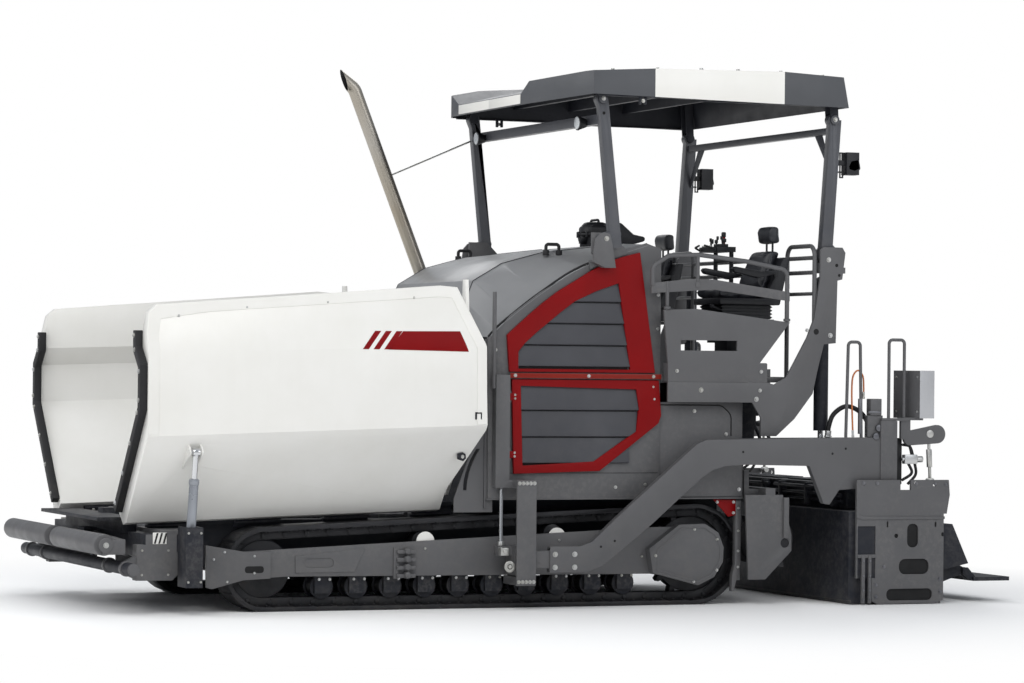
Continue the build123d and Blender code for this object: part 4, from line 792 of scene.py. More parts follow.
def buildLouvres(name, outline, rows, y):
    # overlapping pressed boards: each leans out towards its lower edge and leaves a dark slot under it
    low, high = min(z for x, z in outline), max(z for x, z in outline)
    step = (high - low) / rows
    parts = []
    for row in range(rows):
        top, bottom = high - row * step + 0.01, high - (row + 1) * step + louvre["gap"]
        left, right = rangeAt(outline, max(low + 0.002, min(high - 0.002, (top + bottom) / 2)))
        wide = [rangeAt(outline, z) for z in (max(low + 0.002, bottom), min(high - 0.004, top))]
        left, right = min(w[0] for w in wide) - 0.02, max(w[1] for w in wide) + 0.02
        parts.append(addPlate("board",
                              [(y, top), (y + louvre["lean"], bottom + 0.018),
                               (y + louvre["lean"] + 0.002, bottom),
                               (y - 0.004, bottom - 0.006), (y - 0.004, top)], (left, right), "x", 0.002))
    return joined(name, parts)


topFrames = bySide("upper_frame", lambda made: addFrame(made, upperOuter, upperInner, (1.2405, 1.266), 0.004),
                   "chassis", paints["redPaint"])
for piece in topFrames:
    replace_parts(piece, "upper_grilles")
doorFrames = bySide("door_frame", lambda made: addFrame(made, lowerOuter, lowerInner, (1.242, 1.268), 0.004),
                    "grille_door", paints["redPaint"])
for piece, side in zip(doorFrames, sides):
    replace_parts(piece, f"grille_door_{side}")
bySide("upper_louvres", lambda made: buildLouvres(made, upperInner, louvre["upperRows"], 1.2465), "chassis",
       paints["louvreGrey"])
bySide("door_louvres", lambda made: buildLouvres(made, lowerInner, louvre["lowerRows"], 1.2485),
       "grille_door", paints["louvreGrey"])
# painted shade: near-black sheets behind the louvres, where the engine bay lies in shade
bySide("louvre_backs",
       lambda made: addPlate(made, [(x * 0.97, z) for x, z in upperInner], (1.2405, 1.2415), width=0),
       "chassis", paints["deepBlack"])
bySide("door_backs", lambda made: addPlate(made, [(x * 0.98, z) for x, z in lowerInner], (1.2425, 1.2435),
                                           width=0),
       "grille_door", paints["deepBlack"])


def buildDoorHinges(name):
    return joined(name, [part for z in (1.12, 1.54) for part in
                         (addRod("knuckle", (0.492, 1.262, z - 0.026), (0.492, 1.262, z + 0.026), 0.0135, 18,
                                 0.002),
                          addBox("leaf", (0.44, 0.49), (1.256, 1.2695), (z - 0.025, z + 0.025), 0.002))])


def buildSeamBar(name):
    return addBox(name, (-0.705, 0.5), (1.2665, 1.2815), (1.676, 1.714), 0.004)


bySide("door_hinges", buildDoorHinges, "grille_door", paints["redPaint"])
bySide("seam_bar", buildSeamBar, "chassis",
       makeSurface("barRed", dict(surfaces["redPaint"], base="#84231a", base2="#7a2018")))
boltsOn("seam_bar_bolts", "chassis", [(x, 1.2815, 1.696) for x in (0.46, -0.12, -0.64)], (0, 1, 0),
        radius=0.009, height=0.006)
boltsOn("hinge_leaf_bolts", "grille_door",
        [(0.455, 1.2695, z + up) for z in (1.12, 1.54) for up in (-0.012, 0.014)],
        (0, 1, 0), radius=0.006, height=0.004, washer=0.001)
boltsOn("door_corner_bolts", "grille_door", [(-0.655, 1.268, 1.53), (-0.645, 1.268, 1.62)], (0, 1, 0),
        radius=0.006, height=0.004, washer=0.001)

hoodEdge = [(0.655, 1.972), (0.590, 2.040), (0.480, 2.130), (0.250, 2.300), (-0.080, 2.500), (-0.600, 2.672)]


def buildSeal(name):
    path = smoothPath([(x, 1.226, z + 0.004) for x, z in hoodEdge], 6)
    return addTube(name, path, 0.0075, 2)


def buildSealLip(name):
    path = smoothPath([(x - 0.004, 1.236, z - 0.008) for x, z in hoodEdge], 6)
    return addTube(name, path, 0.0045, 2)


bySide("hood_seal", buildSeal, "chassis", paints["rubber"])
# the lip in the hood's lighter grey, painted light
bySide("cowling_lip", buildSealLip, "chassis", paints["hoodLitGrey"])


def buildHoodHandle(name):
    grip = addTube("grip", filletPath([(0.072, 0.9, 2.60), (0.072, 0.9, 2.668), (-0.032, 0.9, 2.668),
                                       (-0.032, 0.9, 2.60)], 0.02), 0.0125, 4)
    feet = [addRod("foot", (x, 0.9, 2.585), (x, 0.9, 2.625), 0.024, 20, 0.004) for x in (0.072, -0.032)]
    return joined(name, [grip] + feet)


bySide("hood_handle", buildHoodHandle, "engine_hood", paints["rubber"])
seamPoints = [(0.690, 1.990), (0.680, 2.230), (0.610, 2.390), (0.390, 2.520), (0.060, 2.610), (-0.6, 2.690)]


def buildHoodSeam(name):
    return addTube(name, [Vector((x, 0.802, z + 0.0005)) for x, z in seamPoints[1:]], 0.003, 1)


bySide("hood_seam", buildHoodSeam, "engine_hood", paints["shadePaint"])


def buildHoodFlange(name):
    # folded strip that closes the slot between the rear wall and the hood's rear edge, clear of the hood
    return joined(name, [addBox("ledge", (-0.650, -0.608), (0.70, 1.214), (2.597, 2.603), 0.001),
                         addBox("upright", (-0.616, -0.608), (0.70, 1.214), (2.599, 2.664), 0.001)])


bySide("hood_flange", buildHoodFlange, "chassis", paints["greyPaint"])
boltsOn("cowling_bolts", "chassis",
        [(-0.60, 1.24, 0.90), (0.60, 1.24, 1.88), (0.585, 1.24, 1.05), (-0.36, 1.24, 0.88),
         (-0.690, 1.24, 2.30), (-0.690, 1.24, 2.05)], (0, 1, 0), radius=0.009, height=0.006)


def buildBulkheadSide(name):
    plateSide = addPlate(name,
                         [(0.60, 0.70), (0.90, 0.70), (0.90, 0.80), (0.76, 1.18), (0.76, 1.75), (0.67, 1.93),
                          (0.60, 1.93)], (1.196, 1.208), width=0)
    arc = [(0.815 - 0.10 * (number / 8) ** 2, 0.86 + 0.30 * number / 8) for number in range(9)]
    slotShape = [(x + 0.014, z) for x, z in arc] + [(x - 0.014, z) for x, z in reversed(arc)]
    cutOut(plateSide, addPlate("slot", slotShape, (1.18, 1.22), width=0))
    return roundEdges(plateSide, 0.003)


bySide("bulkhead_side", buildBulkheadSide, "chassis", paints["greyPaint"])


def buildRearPanel(name):
    # fixed panel between the cowling and the body's rear wall
    return addPlate(name, [(-0.714, 0.806), (-1.392, 0.806), (-1.392, 1.508), (-0.714, 1.508)],
                    (1.222, 1.232), width=0.003)


def buildPanelSeam(name):
    path = filletPath([(-0.714, 1.227, 1.488), (-1.22, 1.227, 1.486), (-1.30, 1.227, 1.42),
                       (-1.30, 1.227, 1.26)], 0.08)
    return joined(name, [addTube("groove", [Vector((p.x, 1.2325, p.z)) for p in path], 0.0045, 2),
                         addTube("seam", [Vector((0.62, 1.2405, 0.985)), Vector((-0.70, 1.2405, 0.985))],
                                 0.002, 1)])


bySide("rear_panel", buildRearPanel, "chassis", paints["greyPaint"])
bySide("panel_seam", buildPanelSeam, "chassis", paints["deepBlack"])
boltsOn("rear_panel_bolts", "chassis",
        [(-0.997, 1.232, 1.443), (-1.26, 1.232, 1.272), (-1.37, 1.232, 0.86), (-0.76, 1.232, 0.86)],
        (0, 1, 0), radius=0.010)
print("cowling")

# --- paint on CAD pieces that carry more than one colour, and painted shade (shadePaint) on their faces that lie in shade

paintFaces(finished["hopper_base"], paints["shadePaint"], lambda c, n: (2.86 < c.x < 3.0 and abs(c.y) > 1.23)
           or (abs(c.y) < 0.912 and c.z > 0.54) or (abs(c.y) < 0.81 and c.z < 0.66))
for side in sides:
    paintFaces(finished[f"track_frame_{side}"], paints["shadePaint"],
               lambda c, n: c.z < 0.262 and abs(c.y) < 1.136 or abs(c.y) < 0.9)
    paintFaces(finished[f"screed_extension_{side}"], paints["screedSteel"], lambda c, n: c.z < 0.012)
paintFaces(finished["screed_frame"], paints["screedSteel"], lambda c, n: c.z < 0.035)
paintFaces(finished["screed_frame"], paints["chrome"],
           lambda c, n: c.x < -2.62 and c.x > -2.93 and abs(c.y) > 0.06)
paintFaces(finished["main_frame"], paints["greyPaint"], lambda c, n: abs(c.y) > 1.15 or c.x < -1.39)
paintFaces(finished["tow_carriages"], paints["chrome"], lambda c, n: abs(c.x - 0.562) < 0.016 and c.z > 0.47)
paintFaces(finished["lift_cylinder_rods"], paints["chrome"],
           lambda c, n: abs(c.x + 2.08) < 0.024 and 1.22 < c.z < 1.31)
paintFaces(finished["rear_posts"], paints["blackPlastic"], lambda c, n: c.x < -2.15 and 3.2 < c.z < 3.42)
paintFaces(finished["control_console"], paints["redPaint"],
           lambda c, n: abs(c.x + 1.6) < 0.014 and 2.70 < c.z < 2.78)

# --- exhaust: bent tube with a slanting mouth, painted shade inside, and its stay

exhaust = {"radius": 0.052, "bore": 0.047, "bend": 0.12, "y": -0.98,
           "points": [(0.290, 2.050), (0.330, 2.420), (0.928, 3.920), (1.075, 4.023)],
           "mouth": [(0.954, 3.820), (1.083, 4.180), (1.300, 4.180), (1.300, 3.820)],
           "stayFrom": (0.610, -0.992, 3.252), "stayTo": (-0.172, -1.288, 3.560), "stayRadius": 0.0075}
exhaustPath = filletPath([(x, exhaust["y"], z) for x, z in exhaust["points"]], exhaust["bend"], 10)
pipe = addTube("exhaust_tube", exhaustPath, exhaust["radius"], 14)
cutOut(pipe, addTube("bore", exhaustPath[1:] + [exhaustPath[-1] + Vector((0.03, 0, 0.02))], exhaust["bore"],
                     14))
cutOut(pipe, addPlate("mouth", exhaust["mouth"], (exhaust["y"] - 0.1, exhaust["y"] + 0.1), width=0))
roundEdges(pipe, 0.0012, angle=50)
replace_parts(settle(pipe, "chassis", paints["stainless"]), "exhaust_pipe")


def insideOfPipe(c, n):
    # a face of the bore looks towards the tube's middle line
    nearest = min(exhaustPath, key=lambda point: (point - c).length)
    step = (exhaustPath[-1] - exhaustPath[-2] if c.z > 3.95
            else exhaustPath[-15] - exhaustPath[1]).normalized()
    away = c - nearest
    away -= step * away.dot(step)
    return away.dot(n) < 0 and c.z > 3.6


# painted shade: the bore's faces near black
paintFaces(pipe, paints["deepBlack"], insideOfPipe)
settle(addRod("exhaust_stay", exhaust["stayFrom"], exhaust["stayTo"], exhaust["stayRadius"], 14, 0),
       "chassis", paints["zinc"])

# --- roof: white middle band, underside in painted shade, blank sign plate, bolts, clamps and lip

roofBand = {"front": -0.557, "rear": -1.612}
roof = finished["canopy_roof"]
for x in roofBand.values():
    cutAcross(roof, (x, 0, 0), (1, 0, 0))

# painted shade: the underside and the inner faces below the roof in shade paint
paintFaces(roof, paints["shadePaint"], lambda c, n: n.z < -0.2
           or (abs(c.y) < 1.4385 and n.z < 0.3 and -2.14 < c.x < -0.09))
paintFaces(roof, paints["whitePaint"], lambda c, n: roofBand["rear"] < c.x < roofBand["front"]
           and (n.z > 0.3 or abs(c.y) > 1.4405) and n.z > -0.2)


def buildSign(name):
    return addPlate(name, [(0.0, 3.722), (0.636, 3.722), (0.636, 3.792), (0.0, 3.792)], (0.1805, 0.1845), "x",
                    0.0015)


bySide("sign_plate", buildSign, "canopy_roof", paints["whitePaint"])
boltsOn("roof_bolts", "canopy_roof",
        [(-0.252, 1.36, 3.937), (-0.612, 1.36, 3.958), (-0.966, 1.36, 3.968), (-1.266, 1.36, 3.972),
         (-1.62, 1.36, 3.975), (-1.967, 1.36, 3.959)], (0, 0, 1), radius=0.014, height=0.010)


def buildRoofLip(name):
    parts = [addBox("lip", (-0.88, -0.10), (1.395, 1.431), (3.742, 3.750), 0.002),
             addBox("lip", (-2.12, -0.95), (1.405, 1.431), (3.728, 3.734), 0.002)]
    for x in (-0.45, -0.49):
        parts.append(addBox("clamp", (x - 0.010, x + 0.010), (1.405, 1.425), (3.69, 3.742), 0.003))
    return joined(name, parts)


bySide("roof_lip", buildRoofLip, "canopy_roof", paints["shadePaint"])
boltsOn("roof_clamp_bolt", "canopy_roof", [(-0.47, 1.425, 3.715)], (0, 1, 0), radius=0.010)

# --- canopy posts: bolts, caps, gussets, lamps with their brackets


def buildPostCaps(name):
    parts = [addRod("cap", (-0.19, 1.337, 3.73), (-0.19, 1.343, 3.73), 0.036, 24, 0.003),
             addRod("cap", (-2.09, 1.337, 3.64), (-2.09, 1.343, 3.64), 0.036, 24, 0.003)]
    return joined(name, parts)


def buildRearGusset(name):
    # a brace that leans inwards, from the post up to the cross beam
    return addPlate(name, [(1.256, 3.23), (1.256, 3.29), (1.10, 3.545), (0.985, 3.545)], (-2.106, -2.094),
                    "x", 0.003)


def buildLamp(name):
    # tub-shaped lamp with a lens, a yoke and a cable gland
    parts = [addPlate("lamp_shell",
                      [(-2.198, 3.295), (-2.225, 3.345), (-2.300, 3.360), (-2.318, 3.272), (-2.262, 3.246),
                       (-2.205, 3.262)], (1.245, 1.335), width=0.014),
             addFrame("yoke", [(-2.155, 3.205), (-2.155, 3.40), (-2.186, 3.40), (-2.186, 3.205)],
                      [(-2.163, 3.215), (-2.163, 3.39), (-2.178, 3.39), (-2.178, 3.215)], (1.284, 1.296),
                      0.001),
             addRod("gland", (-2.205, 1.29, 3.243), (-2.186, 1.29, 3.233), 0.010, 12, 0.002),
             addRod("arm", (-2.12, 1.29, 3.33), (-2.205, 1.29, 3.31), 0.008, 12, 0.001),
             addRod("arm", (-2.12, 1.29, 3.25), (-2.17, 1.29, 3.25), 0.006, 12, 0.001)]
    return joined(name, parts)


def buildLens(name):
    return addPlate(name, [(-2.299, 3.280), (-2.291, 3.352), (-2.3005, 3.356), (-2.3105, 3.276)],
                    (1.254, 1.326), width=0.003)


def buildFrontLamp(name):
    # round lamp on the front beam, facing forward
    parts = [addRod("bowl", (-0.19, 1.02, 3.565), (-0.130, 1.02, 3.565), 0.030, 28, 0.004, 0.052),
             addRod("collar", (-0.130, 1.02, 3.565), (-0.118, 1.02, 3.565), 0.055, 28, 0.003)]
    return joined(name, parts)


rearPosts, frontPosts = "rear_posts", "front_posts"
# caps and gusset in the post grey, darkened as painted shade
bySide("post_caps", buildPostCaps, "canopy_roof", paints["postShadeGrey"])
bySide("rear_gusset", buildRearGusset, rearPosts, paints["postShadeGrey"])
bySide("rear_lamp", buildLamp, rearPosts, paints["blackPlastic"])
bySide("rear_lens", buildLens, rearPosts, paints["lampLens"])
bySide("front_lamp", buildFrontLamp, frontPosts, paints["blackPlastic"])
bySide("front_lens", lambda made: addRod(made, (-0.119, 1.02, 3.565), (-0.112, 1.02, 3.565), 0.047, 28,
                                         0.002),
       frontPosts, paints["lampLens"])
boltsOn("post_head_bolts", "canopy_roof", [(-0.19, 1.343, 3.73), (-2.09, 1.343, 3.64)], (0, 1, 0),
        radius=0.012)
boltsOn("post_foot_bolts", "chassis", [(-0.224, 1.345, 2.703), (-2.044, 1.345, 2.585),
                                       (-2.063, 1.345, 2.018), (-0.997, 1.345, 1.60), (-1.452, 1.345, 1.535)],
        (0, 1, 0), radius=0.013)


def buildRound(name, places):
    return joined(name, [addRod("plug", (x, y - 0.004, z), (x, y + 0.001, z), radius, 20, 0.0008)
                         for x, y, z, radius in places])


bySide("post_plug", lambda made: buildRound(made, [(-0.202, 1.323, 3.623, 0.012)]), frontPosts,
       paints["deepBlack"])
bySide("frame_plugs",
       lambda made: buildRound(made, [(-2.112, 1.345, 2.545, 0.013), (-2.134, 1.345, 2.47, 0.011),
                                      (-1.945, 1.345, 2.044, 0.022)]), "chassis", paints["deepBlack"])
bySide("arm_plugs", lambda made: buildRound(made, [(-1.30, 1.445, 1.145, 0.009), (-2.04, 1.445, 1.132, 0.009),
                                                   (-2.151, 1.445, 1.170, 0.009),
                                                   (-0.16, 1.445, 0.455, 0.009),
                                                   (-0.269, 1.445, 0.496, 0.009)]), "screed",
       paints["deepBlack"])
boltsOn("side_bolts", "chassis",
        [(-1.867, 1.345, 2.054), (-0.80, 1.345, 1.74), (-1.49, 1.345, 1.74), (-1.481, 1.3455, 1.60)],
        (0, 1, 0), radius=0.010)
print("roof and posts")

# --- tow points, arms and undercarriage fittings

boltsOn("guide_bolts", "chassis",
        [(x, 1.470, z) for x in (0.378, 0.407, 0.436, 0.465, 0.494) for z in (0.918, 0.207)],
        (0, 1, 0), radius=0.010, height=0.009)
boltsOn("arm_bolts", "screed", [(x, 1.445, z) for x in (0.201, 0.047) for z in (0.402, 0.308)], (0, 1, 0),
        radius=0.014, height=0.010)
boltsOn("drive_bolts", "chassis", [(-1.004, 1.240, 0.566), (-0.690, 1.240, 0.373), (-1.002, 1.240, 0.178),
                                   (-1.19, 1.240, 0.49), (-1.19, 1.240, 0.26)], (0, 1, 0), radius=0.008)
boltsOn("frame_bolts", "chassis",
        [(-0.613, 1.160, 0.365), (0.051, 1.160, 0.490), (0.235, 1.160, 0.37), (1.10, 1.160, 0.44),
         (2.40, 1.190, 0.40), (2.40, 1.190, 0.28), (2.60, 1.190, 0.22), (2.62, 1.190, 0.43),
         (2.70, 1.190, 0.38)], (0, 1, 0), radius=0.006)
boltsOn("roller_bolts", "chassis", [(-0.5 + 0.262 * number + shift, 1.138, 0.225) for number in range(10)
                                    for shift in (-0.04, 0.04)], (0, 1, 0), radius=0.007)


def buildDriveCover(name):
    # the drive cover's raised lid with a rolled rim
    rim = [(-0.700, 0.415), (-0.895, 0.580), (-1.085, 0.584), (-1.184, 0.525), (-1.224, 0.425),
           (-1.220, 0.325), (-1.155, 0.224), (-1.035, 0.170), (-0.700, 0.262)]
    inner = [(-0.712, 0.409), (-0.900, 0.568), (-1.080, 0.572), (-1.174, 0.517), (-1.212, 0.421),
             (-1.208, 0.329), (-1.147, 0.234), (-1.033, 0.182), (-0.712, 0.272)]
    return addFrame(name, rim, inner, (1.2395, 1.2435), 0.0015)


def buildCarrierCaps(name):
    return joined(name, [addRod("carrier", (x, 1.132, z), (x, 1.139, z), 0.070, 36, 0.004)
                         for x, z in ((1.09, 0.4905), (0.06, 0.5116))])


def buildLevelClevis(name):
    ring = addRod("pin_ring", (0.553, 1.432, 0.317), (0.553, 1.446, 0.317), 0.042, 28, 0.003)
    cutOut(ring, addRod("bore", (0.553, 1.42, 0.317), (0.553, 1.46, 0.317), 0.020, 24, 0))
    parts = [roundEdges(ring, 0.002),
             addBox("clevis", (0.548, 0.612), (1.352, 1.412), (0.395, 0.452), 0.005),
             addRod("pin", (0.553, 1.36, 0.317), (0.553, 1.45, 0.317), 0.014, 18, 0.002),
             addRod("pin_head", (0.58, 1.412, 0.424), (0.58, 1.424, 0.424), 0.013, 18, 0.002),
             addRod("rod_nut", (0.562, 1.283, 0.46), (0.562, 1.283, 0.492), 0.026, 6, 0.002)]
    return joined(name, parts)


bySide("drive_lid", buildDriveCover, "chassis", paints["greyPaint"])
bySide("carrier_caps", buildCarrierCaps, "chassis", paints["whitePaint"])
bySide("level_clevis", buildLevelClevis, "tow_carriages", paints["zinc"])
bySide("warning_plate",
       lambda made: addPlate(made, [(-1.168, 0.785), (-1.354, 0.785), (-1.354, 0.668), (-1.293, 0.655)],
                             (1.205, 1.213), width=0.002), "chassis", paints["redPaint"])
boltsOn("warning_bolts", "chassis", [(-1.20, 1.213, 0.765), (-1.335, 1.213, 0.765), (-1.335, 1.213, 0.685)],
        (0, 1, 0), radius=0.008)


def buildTrackGuard(name):
    # folded guard behind the sprocket, with its lower flap
    return addPlate(name,
                    [(-1.352, 0.78), (-1.398, 0.78), (-1.398, 0.30), (-1.375, 0.22), (-1.345, 0.10),
                     (-1.325, 0.10), (-1.330, 0.22), (-1.352, 0.30)], (1.165, 1.215), width=0.004)


def slotOutline(front, rear, low, high):
    # a slot with half-round ends on its long sides
    radius = min(abs(front - rear), high - low) * 0.42
    outline = []
    for x, z, start in ((front - radius, high - radius, 0), (rear + radius, high - radius, 90),
                        (rear + radius, low + radius, 180), (front - radius, low + radius, 270)):
        for number in range(5):
            turn = math.radians(start + 22.5 * number)
            outline.append((x + radius * math.cos(turn), z + radius * math.sin(turn)))
    return outline


def buildFramePanel(name):
    # raised panel on the crawler frame with a round-cornered pocket, and four rungs behind one another
    panel = addPlate("panel", [(2.088, 0.396), (1.561, 0.446), (1.640, 0.277), (2.087, 0.275)],
                     (1.158, 1.167), width=0)
    cutOut(panel, addPlate("pocket", slotOutline(2.020, 1.800, 0.312, 0.376), (1.15, 1.18), width=0))
    parts = [roundEdges(panel, 0.003),
             addPlate("backing", [(1.345, 0.225), (1.345, 0.450), (1.305, 0.450), (1.305, 0.225)],
                      (1.158, 1.172), width=0.004)]
    for number in range(4):
        z = 0.250 + 0.058 * number
        parts.append(addRod("rung", (1.245, 1.158, z), (1.245, 1.212, z), 0.028, 28, 0.010, 0.024))
        parts.append(addBox("rung_web", (1.18, 1.325), (1.158, 1.192), (z - 0.020, z + 0.010), 0.008))
    return joined(name, parts)


def buildFrameSlot(name):
    # the long slot near the idler, drawn as a thin near-black plate of painted shade
    return addPlate(name, slotOutline(2.470, 2.330, 0.280, 0.328), (1.1895, 1.1912), width=0)


bySide("frame_panel", buildFramePanel, "chassis", paints["greyPaint"])
bySide("frame_slot", buildFrameSlot, "chassis", paints["deepBlack"])
bySide("track_guard", buildTrackGuard, "chassis", paints["greyPaint"])
boltsOn("track_guard_bolts", "chassis", [(-1.375, 1.215, z) for z in (0.72, 0.55, 0.40, 0.28)], (0, 1, 0),
        radius=0.007)

# --- screed: end gates with slots, step folds, guide bars, cabinet, rods and hoses

gateSlots = [
    # openings in the end gate, dark inside with painted shade: x and z of the lower front and upper rear
    # corners
    (-2.648, -2.742, 0.428, 0.606), (-2.580, -2.834, 0.226, 0.342), (-2.476, -2.864, 0.030, 0.118),
    (-2.540, -2.572, 0.500, 0.532), (-2.940, -2.966, 0.508, 0.540), (-2.474, -2.488, 0.580, 0.625),
    (-2.882, -2.897, 0.580, 0.620),
]


for side, sign in sides.items():
    gate = finished[f"end_gate_{side}"]
    for opening in gateSlots:
        reach = (1.4895, 1.520) if sign > 0 else (-1.520, -1.4895)
        cutOut(gate, addPlate("slot", slotOutline(*opening), reach, width=0))
    roundEdges(gate, 0.0012)
    applyModifier(gate, "WEIGHTED_NORMAL", keep_sharp=True)
    # painted shade: the slots' floors near black and the recessed faces behind them in shade paint
    paintFaces(gate, paints["deepBlack"], lambda c, n: abs(abs(c.y) - 1.4895) < 0.0006 and abs(n.y) > 0.9)
    paintFaces(gate, paints["shadePaint"], lambda c, n: abs(abs(c.y) - 1.492) < 0.0006 and abs(n.y) > 0.9)


def buildGateFold(name):
    parts = [addPlate("fold",
                      [(-2.215, 0.655), (-2.265, 0.640), (-2.965, 0.640), (-2.965, 0.660), (-2.270, 0.664),
                       (-2.215, 0.690)], (1.498, 1.508), width=0.002),
             addBox("guide_bar", (-2.262, -2.288), (1.490, 1.512), (0.012, 0.372), 0.002),
             addBox("guide_bar", (-2.318, -2.342), (1.490, 1.512), (0.012, 0.372), 0.002),
             addBox("guide_foot", (-2.228, -2.385), (1.490, 1.506), (0.352, 0.378), 0.002)]
    return joined(name, parts)


bySide("gate_fold", buildGateFold, "extension", paints["greyPaint"])
boltsOn("gate_bolts", "extension",
        [(-2.276, 1.500, 0.913), (-2.392, 1.500, 0.912), (-2.721, 1.500, 0.908), (-2.882, 1.500, 0.907),
         (-2.975, 1.500, 0.900), (-2.928, 1.500, 0.189), (-2.933, 1.500, 0.091),
         (-2.452, 1.500, 0.285), (-2.386, 1.500, 0.149), (-2.386, 1.500, 0.06)], (0, 1, 0),
        "rollerSteel", radius=0.010, height=0.005)
boltsOn("guide_bar_bolts", "extension",
        [(x, 1.512, z) for x in (-2.275, -2.330) for z in (0.33, 0.22, 0.11, 0.04)],
        (0, 1, 0), "rollerSteel", radius=0.006, height=0.004)


def buildTurnbuckle(name):
    parts = [addRod("upper_eye", (-2.868, 1.375, 1.282), (-2.868, 1.445, 1.282), 0.030, 24, 0.003),
             addRod("rod", (-2.868, 1.42, 1.282), (-2.872, 1.42, 1.12), 0.012, 16, 0.001),
             addRod("body", (-2.870, 1.42, 1.165), (-2.877, 1.42, 1.03), 0.022, 6, 0.002),
             addRod("rod", (-2.877, 1.42, 1.04), (-2.882, 1.42, 0.925), 0.012, 16, 0.001),
             addRod("lower_eye", (-2.882, 1.385, 0.925), (-2.882, 1.452, 0.925), 0.024, 24, 0.003),
             addBox("valve", (-2.655, -2.765), (1.39, 1.44), (1.055, 1.125), 0.005),
             addRod("solenoid", (-2.765, 1.415, 1.09), (-2.815, 1.415, 1.09), 0.024, 20, 0.003),
             addRod("gland", (-2.64, 1.42, 1.09), (-2.655, 1.42, 1.09), 0.014, 6, 0.001)]
    return joined(name, parts)


def buildRearBox(name):
    # small valve box and clamp on the arm, in front of the end post
    parts = [addBox("box", (-2.36, -2.455), (1.37, 1.44), (1.42, 1.545), 0.005),
             addBox("bracket", (-2.34, -2.47), (1.38, 1.43), (1.255, 1.42), 0.004)]
    return joined(name, parts)


def buildArmPins(name):
    parts = [addRod("pin", (-2.43, 1.39, 1.325), (-2.43, 1.452, 1.325), 0.026, 24, 0.003),
             addRod("pin", (-2.405, 1.39, 1.262), (-2.405, 1.452, 1.262), 0.026, 24, 0.003),
             addRod("gun", (-2.282, 1.42, 1.28), (-2.282, 1.42, 1.545), 0.017, 20, 0.003),
             addBox("holder", (-2.34, -2.45), (1.436, 1.446), (1.436, 1.452), 0.001)]
    return joined(name, parts)


def buildValveHoses(name):
    # bracket behind the valve, hose loops and the cable below the cabinet
    parts = [addBox("bracket", (-2.585, -2.655), (1.375, 1.392), (0.90, 1.25), 0.003)]
    for start, middle, end in (((-2.655, 1.40, 1.20), (-2.720, 1.395, 1.185), (-2.745, 1.40, 1.120)),
                               ((-2.700, 1.41, 1.060), (-2.735, 1.40, 0.985), (-2.660, 1.385, 0.930)),
                               ((-2.760, 1.40, 1.065), (-2.775, 1.39, 0.975), (-2.715, 1.375, 0.900)),
                               ((-2.700, 1.40, 1.370), (-2.690, 1.40, 1.300), (-2.735, 1.40, 1.120))):
        parts.append(addTube("loop", smoothPath([start, middle, end], 8), 0.011, 2))
    return joined(name, parts)


bySide("valve_hoses", buildValveHoses, "screed", paints["rubber"])
bySide("turnbuckle", buildTurnbuckle, "screed", paints["zinc"])
bySide("valve_box", buildRearBox, "screed", paints["greyPaint"])
bySide("arm_pins", buildArmPins, "screed", paints["rollerSteel"])
cabinetTurn = math.radians(15)
for side, sign in sides.items():
    turn = Matrix.Translation((-2.778, sign * 1.345, 1.580)) @ Matrix.Rotation(sign * cabinetTurn, 4, "Z")
    screws = [turn @ Vector((0.075, y, z)) for y in (-0.115, 0.115) for z in (-0.13, 0.13)]
    normal = turn.to_3x3() @ Vector((1, 0, 0))
    settle(addBolts(f"cabinet_screws_{side}", screws, normal, 0.008, 0.005), "screed", paints["zinc"])
# painted light: the cabinet's lit side in a lighter grey
paintFaces(finished["screed_controls"], paints["cabinetLitSide"],
           lambda c, n: c.x < -2.70 and 1.41 < c.z < 1.75 and abs(n.y) > 0.8 and abs(c.y) > 1.4)


def hose(name, points, radius, body, paint):
    # a hose with crimped fittings at both ends; prints its length
    path = smoothPath(points, 8)
    line = addTube(name, path, radius, 3)
    settle(line, body, paints[paint])
    for place, other, label in ((path[0], path[1], "start"), (path[-1], path[-2], "end")):
        direction = (other - place).normalized()
        fitting = joined(f"{name}_{label}", [
            addRod("sleeve", place - direction * 0.004, place + direction * 0.036, radius * 1.35, 20, 0.002),
            addRod("hexagon", place - direction * 0.016, place - direction * 0.002, radius * 1.6, 6, 0.001)])
        settle(fitting, body, paints["zinc"])
    print(name, round(pathLength(path), 3))
    return line


hose("orange_hose_left",
     [(-2.225, 1.415, 1.272), (-2.214, 1.42, 1.45), (-2.210, 1.42, 1.62), (-2.220, 1.42, 1.715),
      (-2.261, 1.42, 1.757), (-2.302, 1.42, 1.715), (-2.310, 1.42, 1.63), (-2.309, 1.42, 1.56)],
     0.0065, "screed", "orangeRubber")
hose("black_hose_left",
     [(-2.41, 1.366, 1.19), (-2.41, 1.345, 1.31), (-2.375, 1.29, 1.42), (-2.30, 1.27, 1.475),
      (-2.22, 1.265, 1.480), (-2.135, 1.264, 1.42), (-2.100, 1.262, 1.33),
      (-2.095, 1.260, 1.265)], 0.018, "screed", "rubber")
print("screed")

# --- seats: sewn cushions blown up as cloth, with piping, armrests and a bellows under the pan

seatShape = {"y": 0.950, "voxel": 0.006, "pressure": 4.0, "frames": 20, "reach": 0.024}


